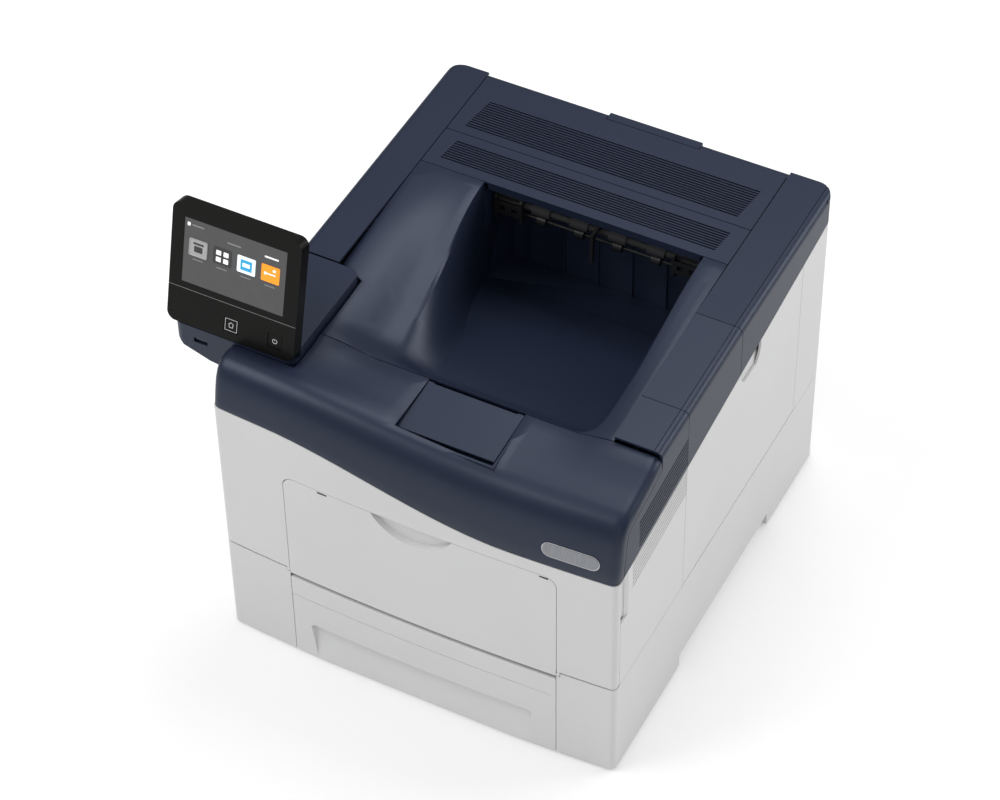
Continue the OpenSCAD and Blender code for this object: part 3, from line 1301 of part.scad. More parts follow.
// Bypass door, its slide-out extension and its two paper guides
scoop_x = 2;
by_t = 2.4;
by_in = 8;
module by_face() round2(by_x0, by_z0, by_x1, by_z1, by_r);
module bypass_tray() color(pale) difference() {
  union() {
    difference() {
      intersection() {
        ring(by_z0, by_z1, by_t);
        back(-deep, 0) {
          by_face();
          round2(by_x0, by_z0, by_x1, by_z0 + by_r * 2, web);
        }
        // Lower edge set back so that it swings clear of the cassette
        union() {
          block([-hw, -deep, by_z0 + web], [hw, 0, body_h]);
          linear_extrude(body_h) plan(wall / 2);
        }
      }
      scoop_disc(scoop_R, -deep, flush_y + front_in);
    }
    // Cup behind the scoop
    intersection() {
      difference() {
        scoop_disc(scoop_R + web, flush_y - bow, flush_y - bow + by_in);
        scoop_disc(scoop_R, -deep, flush_y - bow + by_in - web);
      }
      back(-deep, 0) box2(by_x0, by_z0, by_x1, by_z1 - play);
      translate([0, 0, by_z0]) linear_extrude(by_z1 - by_z0) plan(web);
    }
    // Flat deck on ribs inside the bowed face, and the hinge pins
    intersection() {
      back(flush_y - bow + by_in - by_deck, flush_y - bow + by_in) box2(by_x0 + rib, by_z0 + by_r,
          by_x1 - rib, by_z1 - scoop_h - rib * 3);
      linear_extrude(body_h) plan(wall / 2);
    }
    intersection() {
      back(flush_y - bow, flush_y - bow + by_in - web / 2) for (i = [0 : by_ribs])
        translate([mix(by_x0 + rib, by_x1 - rib - web, i / by_ribs), 0]) box2(0, by_z0 + by_r, web,
            by_z1 - scoop_h - rib * 3);
      linear_extrude(body_h) plan(wall / 2);
    }
    for (x = [by_x0 - play - boss_w * 0.8, by_x1 - lug]) rod(x, x + lug + play + boss_w * 0.8, by_pin_y,
        by_pin_z, pin_r);
    for (x = [by_x0, by_x1 - lug]) {
      rod(x, x + lug, by_pin_y, by_pin_z, boss_r, 40);
      block([x, by_pin_y - boss_r, by_pin_z], [x + lug, by_pin_y + boss_r, by_pin_z + boss_r * 2]);
    }
  }
}
by_deck = 2;
by_ribs = 4;
scoop_R = (scoop_w * scoop_w / 4 + scoop_h * scoop_h) / (2 * scoop_h);
module scoop_disc(r, y0, y1) rod_y(y0, y1, scoop_x, by_z1 - scoop_h + scoop_R, r, 96);
ext_w = 130;
ext_up = 16;
ext_z0 = by_z0 + ext_up;
ext_h = 72;
ext_y0 = flush_y - bow + by_in + seat;
ext_t = 2;
guide_up = 13;
guide_z0 = by_z0 + guide_up;
guide_h = 60;
guide_d = 12;
module bypass_extension() color(grey) union() {
  block([by_mid - ext_w / 2, ext_y0, ext_z0], [by_mid + ext_w / 2, ext_y0 + ext_t, ext_z0 + ext_h]);
  // Curled pull edge
  block([by_mid - ext_w / 5, ext_y0, ext_z0 + ext_h - ext_t], [by_mid + ext_w / 5, ext_y0 + ext_t * 2,
      ext_z0 + ext_h]);
}
by_mid = (by_x0 + by_x1) / 2;
guide_plate_y = ext_y0 + ext_t + seat;
module bypass_guide(s) {
  x = by_mid + s * sheet_w / 2;
  block([min(x, x - s * rib * 12), guide_plate_y, guide_z0], [max(x, x - s * rib * 12), guide_plate_y + web,
      guide_z0 + guide_h * 0.8]);
  block([min(x, x + s * web), guide_plate_y, guide_z0], [max(x, x + s * web), guide_plate_y + guide_d,
      guide_z0 + guide_h]);
  // Foot that runs on the deck below the extension
  block([min(x, x - s * rib * 12), ext_y0, guide_z0], [max(x, x - s * rib * 12), guide_plate_y + web / 2,
      ext_z0 - seat]);
}
module bypass_guide_left() color(grey) bypass_guide(-1);
module bypass_guide_right() color(grey) bypass_guide(1);

// Paper cassette
cas_y0 = flush_y + wall * 4;
cas_y1 = cas_y0 + cassette_d;
cas_x0 = plate_l + rib * 2;
cas_x1 = plate_r - rib * 3;
cas_z0 = bay_z + seat;
cas_z1 = 78;
cas_mid = (cas_x0 + cas_x1) / 2;
module cassette() color(grey) difference() {
  block([cas_x0, cas_y0, cas_z0], [cas_x1, cas_y1, cas_z1]);
  block([cas_x0 + wall, cas_y0 + wall, cas_z0 + wall], [cas_x1 - wall, cas_y1 - wall, cas_z1 + eps]);
  // Lowered front wall where the sheets leave
  block([cas_x0 + rib * 6, cas_y0 - eps, cas_z1 - rib * 5], [cas_x1 - rib * 6, cas_y0 + wall + eps,
      cas_z1 + eps]);
}
line_b = 82;
line_w = 0.7;
pull_in_l = 19;
pull_in_r = 24.6;
pull_x0 = by_x0 + pull_in_l;
pull_x1 = by_x1 - pull_in_r;
module cassette_front() color(pale) difference() {
  intersection() {
    translate([0, bow_cy, foot_h + seat]) cylinder(h = tray_front_h - foot_h - seat, r = bow_R, $fn = 1440);
    back(-deep, 0) round2(bay_x0 - play / 2 + seat, foot_h - by_r, bay_x1 + play / 2 - seat, tray_front_h,
        web);
    block([-hw, -deep, foot_h + seat], [hw, cas_y0 - seat, body_h]);
  }
  // Concave pull, deepest at its top and blending out to the foot
  intersection() {
    back(-deep, 0) polygon([[pull_x0 + rib * 2, -eps], [pull_x0, pull_h - rib], [pull_x0 + rib, pull_h],
      [pull_x1 - rib, pull_h], [pull_x1, pull_h - rib], [pull_x1 - rib * 2, -eps]]);
    across(pull_x0, pull_x1) polygon([[-deep, pull_h + eps], [-hd - bow + pull_d, pull_h + eps],
        [-hd - bow + pull_d, pull_h - rib * 2],
      [-hd - bow + pull_d * 0.7, pull_h * 0.6], [-hd - bow + pull_d * 0.4, pull_h * 0.3], [-hd - bow + web,
          foot_h], [-hd - bow + web, -eps], [-deep, -eps]]);
  }
  // Fine line across the face, and the hollow behind it
  block([-hw, -deep, line_b], [hw, front_at(by_x0) + seat * 2, line_b + line_w]);
  block([bay_x0 + wall, flush_y - bow / 2 + rib, pull_h + wall], [bay_x1 - wall, hd, tray_front_h - wall]);
}
lift_y0 = cas_y0 + rib * 3;
lift_z = cas_z0 + wall + seat;
lift_l = 196;
lift_t = 1.5;
lift_w = 150;
module lift_plate() color(steel) {
  block([cas_mid - lift_w / 2, lift_y0, lift_z], [cas_mid + lift_w / 2, lift_y0 + lift_l, lift_z + lift_t]);
  rod(cas_mid - lift_w / 2, cas_mid + lift_w / 2, lift_y0 + lift_l, lift_z + lift_t, lift_t);
}
pg_t = 2;
pg_h = 52;
pg_l = 150;
pg_y0 = cas_y0 + rib * 12;
pg_foot = 12;
module paper_guide(s) {
  x = cas_mid + s * (sheet_w / 2 + seat);
  block([min(x, x + s * pg_t), pg_y0, lift_z], [max(x, x + s * pg_t), pg_y0 + pg_l, lift_z + pg_h]);
  block([min(x, x + s * pg_foot), pg_y0 + pg_foot, lift_z], [max(x, x + s * pg_foot),
      pg_y0 + pg_l - pg_foot, lift_z + pg_t]);
}
module paper_guide_left() color(grey) paper_guide(-1);
module paper_guide_right() color(grey) paper_guide(1);
eg_y = cas_y0 + wall + sheet_l + rib * 3;
module end_guide() color(grey) {
  block([cas_mid - pg_foot * 2, eg_y, lift_z], [cas_mid + pg_foot * 2, eg_y + pg_t, lift_z + pg_h]);
  block([cas_mid - pg_foot, eg_y - pg_foot * 2, lift_z], [cas_mid + pg_foot, eg_y + pg_foot, lift_z + pg_t]);
}

// Toner door on the right side and the dark strip that wraps over its top
door_pin_x = hw - wall;
door_pin_z = door_z0 + wall;
module side_door() color(pale) difference() {
  union() {
    intersection() {
      across(hw - wall, hw) side_zone(strip_y0, door_y1, true, true, seam / 2);
      block([0, strip_y0, door_pin_z], [hw, door_y1, body_h]);
    }
    rod_y(strip_y0, door_y1, door_pin_x, door_pin_z, wall);
    for (y = [strip_y0 + rib, mix(strip_y0, door_y1, 0.5), door_y1 - rib * 2])
      block([hw - wall - web, y, door_z0 + rib * 6], [hw - wall / 2, y + web, line_right - rib * 3]);
    rod_y(strip_y0 - play - pin_len, door_y1 + play + pin_len, door_pin_x, door_pin_z, pin_r);
  }
  // Finger scoop under the colour line
  across(hw - wall - eps, hw + eps) intersection() {
    translate([mix(scoop_y0, scoop_y1, 0.5), line_side(scoop_y0, true)]) circle((scoop_y1 - scoop_y0) / 2,
        $fn = 48);
    box2(scoop_y0, line_side(scoop_y0, true) - scoop_z, scoop_y1, body_h);
  }
}
module side_door_trim() color(navy) {
  intersection() {
    strip_body(strip_tilt);
    above_line(strip_y0, strip_y1 - play);
  }
  // Tongue that screws to the door's inner face
  block([hw - wall - web - seat, strip_y0 + rib * 6, line_side(strip_y0, true) - rib * 2],
      [hw - wall - seat, strip_y1 - rib * 6, line_side(strip_y0, true) + rib * 8]);
  block([hw - wall - web - seat, strip_y0 + rib * 6, line_side(strip_y1, true) + rib], [hw - wall / 2,
      strip_y1 - rib * 6, line_side(strip_y1, true) + rib * 2]);
}

// Paper feed rollers near the front
pick_r = 10;
pick_w = 44;
reg_r = 6;
module pickup_roller() color(dark) {
  rod(plate_l + seat, plate_r - seat, pick_y, pick_z, shaft_r);
  rod(by_mid - pick_w / 2, by_mid + pick_w / 2, pick_y, pick_z, pick_r, 40);
}
module registration_roller() color(steel) {
  rod(plate_l + seat, plate_r - seat, reg_y, reg_z, shaft_r);
  for (i = [0 : 4]) let (x = mix(plate_l + rib * 5, plate_r - rib * 5 - reg_w, i / 4)) rod(x, x + reg_w,
      reg_y, reg_z, reg_r, 40);
}
reg_w = 30;

base_pan();
rubber_feet();
left_panel();
right_panel();
vent_cowl();
left_top_cover();
right_top_cover();
rear_top_panel();
exit_lid();
output_tray();
rear_cover();
engine_frame();
scanner_unit();
belt_unit();
imaging_units();
drum_1();
drum_2();
drum_3();
drum_4();
toner_1();
toner_2();
toner_3();
toner_4();
fuser_frame();
heat_roller();
pressure_roller();
main_motor();
motor_pinion();
drive_gear();
power_supply();
controller_board();
fan_frame();
fan_rotor();
exit_unit();
exit_drive_shaft();
exit_pinch_shaft();
exit_flag();
pedestal();
display();
screen();
home_button();
power_button();
front_cover();
front_panel();
paper_stop();
bypass_tray();
bypass_extension();
bypass_guide_left();
bypass_guide_right();
cassette();
cassette_front();
lift_plate();
paper_guide_left();
paper_guide_right();
end_guide();
side_door();
side_door_trim();
rear_door();
pickup_roller();
registration_roller();
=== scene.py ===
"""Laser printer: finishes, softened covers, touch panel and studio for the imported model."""

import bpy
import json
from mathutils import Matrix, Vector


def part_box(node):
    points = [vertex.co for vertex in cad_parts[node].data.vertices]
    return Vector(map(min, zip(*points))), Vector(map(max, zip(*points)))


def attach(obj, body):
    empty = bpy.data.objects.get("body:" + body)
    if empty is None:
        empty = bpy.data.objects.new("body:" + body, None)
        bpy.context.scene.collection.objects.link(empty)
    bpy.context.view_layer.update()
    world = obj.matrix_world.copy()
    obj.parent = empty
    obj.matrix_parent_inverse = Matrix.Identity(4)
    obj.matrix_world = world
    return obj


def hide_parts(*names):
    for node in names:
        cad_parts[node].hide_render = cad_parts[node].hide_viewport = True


bl_info = {
    "name": "Laser printer",
    "version": (1, 0, 0),
    "blender": (4, 5, 0),
    "location": "View3D > Sidebar > Printer",
    "description": "Builds the visible covers and finishes of a desktop laser printer",
    "category": "Object",
}

import json
import math

import bpy
import bmesh
import numpy as np
from mathutils import Vector, Matrix
from bpy.props import FloatProperty, FloatVectorProperty, PointerProperty

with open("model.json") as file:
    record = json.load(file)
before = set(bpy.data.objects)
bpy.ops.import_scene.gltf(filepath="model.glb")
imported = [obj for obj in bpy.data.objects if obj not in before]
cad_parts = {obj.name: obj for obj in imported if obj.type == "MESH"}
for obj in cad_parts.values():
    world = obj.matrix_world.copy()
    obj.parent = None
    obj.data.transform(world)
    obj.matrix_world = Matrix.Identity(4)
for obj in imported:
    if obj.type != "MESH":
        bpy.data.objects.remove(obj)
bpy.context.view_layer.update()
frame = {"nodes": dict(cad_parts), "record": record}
NODES = frame["nodes"]
MM = 0.001


# Values that a user would change

class CoverSettings(bpy.types.PropertyGroup):
    """Sizes of the moulded covers that a user would change"""
    edge_soften: FloatProperty(name="Edge softening", description="Width of the softened cover edges",
                               default=0.0005, min=0.0, max=0.002, unit="LENGTH", subtype="DISTANCE")
    texture_size: FloatProperty(name="Texture size", description="Spacing of the fine moulded texture",
                                default=0.0009, min=0.0003, max=0.004, unit="LENGTH", subtype="DISTANCE")
    texture_depth: FloatProperty(name="Texture depth", description="Strength of the fine moulded texture",
                                 default=0.12, min=0.0, max=1.0, subtype="FACTOR")


class ColourSettings(bpy.types.PropertyGroup):
    """Colours of the printer's finishes"""
    navy: FloatVectorProperty(name="Dark covers", description="Colour of the upper covers", size=3,
                              subtype="COLOR", default=(0.0135, 0.0195, 0.041), min=0.0, max=1.0)
    pale: FloatVectorProperty(name="Pale covers", description="Colour of the lower covers", size=3,
                              subtype="COLOR", default=(0.74, 0.74, 0.742), min=0.0, max=1.0)
    bezel: FloatVectorProperty(name="Panel face", description="Colour of the touch panel's face", size=3,
                               subtype="COLOR", default=(0.006, 0.0055, 0.005), min=0.0, max=1.0)
    orange: FloatVectorProperty(name="Screen tile", description="Colour of the brightest screen tile", size=3,
                                subtype="COLOR", default=(0.85, 0.27, 0.01), min=0.0, max=1.0)


class StudioSettings(bpy.types.PropertyGroup):
    """Light levels of the studio"""
    key: FloatProperty(name="Key light", description="Power of the large key light",
                       default=54.0, min=0.0, max=500.0, unit="POWER")
    fill: FloatProperty(name="Fill light", description="Power of the soft fill light",
                        default=7.0, min=0.0, max=500.0, unit="POWER")
    back: FloatProperty(name="Back light", description="Power of the light with its sheen on the top covers",
                        default=30.0, min=0.0, max=500.0, unit="POWER")
    side: FloatProperty(name="Side light", description="Power of the light on the right side",
                        default=34.0, min=0.0, max=500.0, unit="POWER")
    ambient: FloatProperty(name="Ambient", description="Level of the surrounding light",
                           default=0.5, min=0.0, max=2.0)


# Materials

def new_material(name):
    mat = bpy.data.materials.get(name)
    if mat:
        return mat, None, None, None
    mat = bpy.data.materials.new(name)
    mat.use_nodes = True
    tree = mat.node_tree
    shader = tree.nodes["Principled BSDF"]
    coords = tree.nodes.new("ShaderNodeTexCoord")
    return mat, tree, shader, coords


def add_noise(tree, coords, scale, detail=2.0):
    noise = tree.nodes.new("ShaderNodeTexNoise")
    noise.inputs["Scale"].default_value = scale
    noise.inputs["Detail"].default_value = detail
    tree.links.new(coords.outputs["Object"], noise.inputs["Vector"])
    return noise


def vary(tree, shader, noise, colour, spread):
    """Links a colour that wanders a little round the given one."""
    ramp = tree.nodes.new("ShaderNodeValToRGB")
    low = [c * (1 - spread) for c in colour] + [1]
    high = [min(c * (1 + spread), 1) for c in colour] + [1]
    ramp.color_ramp.elements[0].position = 0.35
    ramp.color_ramp.elements[0].color = low
    ramp.color_ramp.elements[1].position = 0.65
    ramp.color_ramp.elements[1].color = high
    tree.links.new(noise.outputs["Fac"], ramp.inputs["Fac"])
    tree.links.new(ramp.outputs["Color"], shader.inputs["Base Color"])


def rough_range(tree, shader, noise, low, high):
    span = tree.nodes.new("ShaderNodeMapRange")
    span.inputs["From Min"].default_value = 0.3
    span.inputs["From Max"].default_value = 0.7
    span.inputs["To Min"].default_value = low
    span.inputs["To Max"].default_value = high
    tree.links.new(noise.outputs["Fac"], span.inputs["Value"])
    tree.links.new(span.outputs["Result"], shader.inputs["Roughness"])


def add_bump(tree, shader, noise, strength, distance):
    bump = tree.nodes.new("ShaderNodeBump")
    bump.inputs["Strength"].default_value = strength
    bump.inputs["Distance"].default_value = distance
    tree.links.new(noise.outputs["Fac"], bump.inputs["Height"])
    tree.links.new(bump.outputs["Normal"], shader.inputs["Normal"])


def moulded_plastic(name, colour, rough=(0.38, 0.46), spread=0.03, depth=None, sheen=0.5, tint=(1, 1, 1)):
    """Satin moulding with the fine spark-eroded texture of an office machine."""
    mat, tree, shader, coords = new_material(name)
    if tree is None:
        return mat
    covers = bpy.context.scene.printer_covers
    broad = add_noise(tree, coords, 9.0, 3.0)
    vary(tree, shader, broad, colour, spread)
    fine = add_noise(tree, coords, 1.0 / covers.texture_size, 2.0)
    rough_range(tree, shader, fine, rough[0], rough[1])
    add_bump(tree, shader, fine, covers.texture_depth if depth is None else depth, 0.00012)
    shader.inputs["IOR"].default_value = 1.48
    shader.inputs["Specular IOR Level"].default_value = sheen
    shader.inputs["Specular Tint"].default_value = list(tint) + [1]
    return mat


def rolled_metal(name, colour, rough=(0.3, 0.42), stretch=(8.0, 220.0, 220.0)):
    """Sheet or turned metal with fine lines along one way."""
    mat, tree, shader, coords = new_material(name)
    if tree is None:
        return mat
    shader.inputs["Metallic"].default_value = 1.0
    mapping = tree.nodes.new("ShaderNodeMapping")
    mapping.inputs["Scale"].default_value = stretch
    tree.links.new(coords.outputs["Object"], mapping.inputs["Vector"])
    lines = tree.nodes.new("ShaderNodeTexNoise")
    lines.inputs["Scale"].default_value = 6.0
    lines.inputs["Detail"].default_value = 4.0
    tree.links.new(mapping.outputs["Vector"], lines.inputs["Vector"])
    vary(tree, shader, lines, colour, 0.08)
    rough_range(tree, shader, lines, rough[0], rough[1])
    add_bump(tree, shader, lines, 0.08, 0.0001)
    return mat


def roller_rubber(name, colour, rough=(0.6, 0.8)):
    mat, tree, shader, coords = new_material(name)
    if tree is None:
        return mat
    grain = add_noise(tree, coords, 900.0, 3.0)
    vary(tree, shader, grain, colour, 0.12)
    rough_range(tree, shader, grain, rough[0], rough[1])
    add_bump(tree, shader, grain, 0.25, 0.0001)
    return mat


def glossy_face(name, colour, rough=(0.16, 0.24), sheen=0.5):
    mat, tree, shader, coords = new_material(name)
    if tree is None:
        return mat
    haze = add_noise(tree, coords, 14.0, 3.0)
    vary(tree, shader, haze, colour, 0.05)
    rough_range(tree, shader, haze, rough[0], rough[1])
    shader.inputs["IOR"].default_value = 1.5
    shader.inputs["Specular IOR Level"].default_value = sheen
    return mat


def lit_screen(name, colour, strength=0.35):
    """A screen colour that glows a little."""
    mat, tree, shader, coords = new_material(name)
    if tree is None:
        return mat
    grain = add_noise(tree, coords, 60.0, 2.0)
    vary(tree, shader, grain, colour, 0.04)
    rough_range(tree, shader, grain, 0.2, 0.28)
    shader.inputs["Emission Color"].default_value = list(colour) + [1]
    shader.inputs["Emission Strength"].default_value = strength
    return mat


def circuit_board(name, colour):
    mat, tree, shader, coords = new_material(name)
    if tree is None:
        return mat
    cells = tree.nodes.new("ShaderNodeTexVoronoi")
    cells.inputs["Scale"].default_value = 160.0
    tree.links.new(coords.outputs["Object"], cells.inputs["Vector"])
    ramp = tree.nodes.new("ShaderNodeValToRGB")
    ramp.color_ramp.elements[0].color = list(colour) + [1]
    ramp.color_ramp.elements[1].color = [c * 1.9 for c in colour] + [1]
    tree.links.new(cells.outputs["Distance"], ramp.inputs["Fac"])
    tree.links.new(ramp.outputs["Color"], shader.inputs["Base Color"])
    rough_range(tree, shader, add_noise(tree, coords, 300.0, 2.0), 0.35, 0.5)
    return mat


def finish_for(slot):
    colours = bpy.context.scene.printer_colours
    makers = {
        "pale": lambda: moulded_plastic("pale_cover", list(colours.pale), (0.42, 0.5), 0.012),
        "navy": lambda: moulded_plastic("navy_cover", list(colours.navy), (0.34, 0.42),
                                        tint=(0.74, 0.84, 1.0)),
        "foot": lambda: roller_rubber("foot_rubber", (0.02, 0.02, 0.02)),
        "steel": lambda: rolled_metal("zinc_sheet", (0.55, 0.56, 0.58)),
        "dark": lambda: moulded_plastic("black_moulding", (0.013, 0.013, 0.014), (0.35, 0.5), 0.1, 0.2),
        "drum": lambda: glossy_face("drum_coating", (0.02, 0.14, 0.16), (0.1, 0.16)),
        "rubber": lambda: roller_rubber("roller_rubber", (0.03, 0.03, 0.032)),
        "brass": lambda: rolled_metal("pinion_brass", (0.62, 0.45, 0.2)),
        "gear": lambda: moulded_plastic("gear_plastic", (0.7, 0.69, 0.62), (0.35, 0.45), 0.02, 0.08),
        "board": lambda: circuit_board("circuit_board", (0.01, 0.10, 0.035)),
        "bezel": lambda: glossy_face("panel_face", list(colours.bezel), (0.26, 0.34), 0.16),
        "screen": lambda: lit_screen("screen_ground", (0.070, 0.070, 0.072), 0.25),
        "grey": lambda: moulded_plastic("grey_moulding", (0.09, 0.095, 0.1), (0.4, 0.5), 0.05),
    }
    return makers[slot]()


SLOTS = {s["node"]: s["material_slot"] for s in frame["record"]["subparts"]}
BODY_OF = {n: b for b, ns in frame["record"]["behaviour"]["bodies"].items() for n in ns}


# Modelling helpers

# Edges sharper than this many degrees stay sharp in a softened piece
SHARP_ANGLE = 32


def select_only(obj):
    if bpy.context.object and bpy.context.object.mode != "OBJECT":
        bpy.ops.object.mode_set(mode="OBJECT")
    bpy.ops.object.select_all(action="DESELECT")
    obj.select_set(True)
    bpy.context.view_layer.objects.active = obj


def settle(obj):
    """Leaves the object at the origin with its place in its mesh."""
    select_only(obj)
    bpy.ops.object.transform_apply(location=True, rotation=True, scale=True)
    return obj


def paint(obj, mat):
    obj.data.materials.clear()
    obj.data.materials.append(mat)
    return obj


def add_modifier(obj, kind, **values):
    mod = obj.modifiers.new(kind.lower(), kind)
    for key, value in values.items():
        setattr(mod, key, value)
    return mod


def apply_all(obj):
    select_only(obj)
    for mod in list(obj.modifiers):
        bpy.ops.object.modifier_apply(modifier=mod.name)


def soften(obj, width, segments=2, angle=30.0, even=True):
    """Rounds the sharp edges of a piece and shades it smooth between them."""
    add_modifier(obj, "BEVEL", width=width, segments=segments, limit_method="ANGLE",
                 angle_limit=math.radians(angle), use_clamp_overlap=True, harden_normals=False)
    apply_all(obj)
    select_only(obj)
    bpy.ops.object.shade_smooth_by_angle(angle=math.radians(SHARP_ANGLE))
    if even:
        add_modifier(obj, "WEIGHTED_NORMAL", keep_sharp=True, weight=80)
        apply_all(obj)


# Faces of a CAD mesh that meet at less than this many degrees are one face
FLAT_ANGLE = 0.4


def refined_copy(node, width):
    """A copy of a CAD node with whole faces, softened edges and smooth shading, which stands for the node."""
    source = NODES[node]
    piece = bpy.data.objects.new(node + "_cover", source.data.copy())
    bpy.context.scene.collection.objects.link(piece)
    select_only(piece)
    bpy.ops.object.mode_set(mode="EDIT")
    bpy.ops.mesh.select_all(action="SELECT")
    bpy.ops.mesh.remove_doubles(threshold=0.00001)
    bpy.ops.mesh.dissolve_limited(angle_limit=math.radians(FLAT_ANGLE))
    bpy.ops.object.mode_set(mode="OBJECT")
    soften(piece, width, even=node not in ("front_cover", "output_tray"))
    paint(piece, finish_for(SLOTS[node]))
    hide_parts(node)
    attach(piece, BODY_OF[node])
    return piece


# The touch panel leans back about its lower left corner, which is given in metres
PANEL_CORNER = (-0.269, -0.192, 0.344)
PANEL_TILT = math.radians(14.35)
PANEL = Matrix.Translation(PANEL_CORNER) @ Matrix.Rotation(-PANEL_TILT, 4, "X")


def tile(name, x0, x1, z0, z1, depth, mat, radius):
    """A rounded plate on the touch panel's face, given in the panel's own upright coordinates."""
    bpy.ops.object.select_all(action="DESELECT")
    bpy.ops.mesh.primitive_cube_add(size=1)
    piece = bpy.context.object
    piece.name = name
    piece.scale = (x1 - x0, depth, z1 - z0)
    piece.location = ((x0 + x1) / 2, -depth / 2, (z0 + z1) / 2)
    settle(piece)
    select_only(piece)
    bpy.ops.object.mode_set(mode="EDIT")
    bpy.ops.mesh.select_all(action="DESELECT")
    bpy.ops.object.mode_set(mode="OBJECT")
    for edge in piece.data.edges:
        a, b = [piece.data.vertices[i].co for i in edge.vertices]
        edge.select = abs(a.y - b.y) > depth / 2
    bpy.ops.object.mode_set(mode="EDIT")
    bpy.ops.mesh.select_mode(type="EDGE")
    bpy.ops.mesh.bevel(offset=radius, segments=5, affect="EDGES")
    bpy.ops.object.mode_set(mode="OBJECT")
    piece.matrix_world = PANEL
    settle(piece)
    paint(piece, mat)
    return piece


# Operators, one for each group of pieces and one for the stage

class PRINTER_OT_finishes(bpy.types.Operator):
    """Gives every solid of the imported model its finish"""
    bl_idname = "printer.finishes"
    bl_label = "Finishes"

    def execute(self, context):
        for name, obj in NODES.items():
            paint(obj, finish_for(SLOTS[name]))
        return {"FINISHED"}


COVERS = ("base_pan", "left_panel", "right_panel", "vent_cowl", "left_top_cover",
          "right_top_cover", "rear_top_panel", "exit_lid", "rear_cover", "pedestal",
          "front_panel", "paper_stop", "bypass_tray", "cassette_front", "side_door",
          "side_door_trim", "rear_door", "home_button", "power_button", "display",
          "front_cover", "output_tray")


class PRINTER_OT_covers(bpy.types.Operator):
    """Softens the edges of the moulded covers"""
    bl_idname = "printer.covers"
    bl_label = "Covers"

    def execute(self, context):
        for node in COVERS:
            refined_copy(node, context.scene.printer_covers.edge_soften)
        return {"FINISHED"}


# Places on the touch panel, in millimetres from its lower left corner
SCREEN_X, SCREEN_Z = 13, 45
TILE_X, TILE_Z = SCREEN_X + 6, SCREEN_Z + 30
TILE_PITCH, TILE_WIDE, TILE_HIGH, TILE_THICK, TILE_RADIUS = 24.5, 18.5, 17, 0.12, 1.2
CAPTION = (4, 14.5, -4.5, -3.3)
CAPTION_THICK, CAPTION_RADIUS = 0.1, 0.3
CELL, CELL_STEP = (3, 8, 2.5, 7.2), (7.5, 6.8)


def cell_span(column, row):
    """Span of one cell in the symbol of two by two cells."""
    across, up = column * CELL_STEP[0], row * CELL_STEP[1]
    return (CELL[0] + across, CELL[1] + across, CELL[2] + up, CELL[3] + up)


# Symbols on the tiles: name, tile, span from the tile's lower left corner, thickness, finish, corner radius
TILE_SYMBOLS = [
    ("symbol_page", 0, (5, 13.5, 4, 10), 0.3, "dark", 0.6),
    ("symbol_lid", 0, (4, 14.5, 11.5, 13.5), 0.3, "dark", 0.4),
    *[("symbol_cell_%d%d" % (i, k), 1, cell_span(i, k), 0.3, "white", 0.6)
      for i in range(2) for k in range(2)],
    ("symbol_book", 2, (3.5, 15, 3, 13.5), 0.3, "blue", 0.6),
    ("symbol_leaf", 2, (5.5, 13, 6.5, 10.5), 0.4, "pale", 0.3),
    ("symbol_bar", 3, (4, 14.5, 7.8, 9), 0.3, "white", 0.3),
    ("symbol_dot", 3, (3, 5.5, 6.8, 9.8), 0.4, "white", 1.1),
    ("symbol_tip", 3, (11.5, 14.5, 11.5, 14), 0.4, "white", 0.9),
]

# Marks round the tiles: name, span from the screen's lower left corner, finish, corner radius
SCREEN_MARKS = [
    ("top_mark", (3, 6, 58.5, 62), "white", 0.9),
    ("top_line", (8, 20, 59.5, 61.2), "faint", 0.4),
    ("title_line", (44, 58, 54, 55.6), "faint", 0.4),
    ("side_mark", (82, 96, 54, 55.6), "white", 0.4),
]
MARK_THICK = 0.2

# Fine light line between the screen zone and the key zone
PANEL_LINE = (0.5, 130.5, 38.1, 38.5)
LINE_THICK, LINE_RADIUS = 0.1, 0.05


def tile_at(name, x, z, span, thick, mat, radius):
    """A tile whose span, in millimetres, starts from a corner on the panel."""
    return tile(name, (x + span[0]) * MM, (x + span[1]) * MM, (z + span[2]) * MM, (z + span[3]) * MM,
                thick * MM, mat, radius * MM)


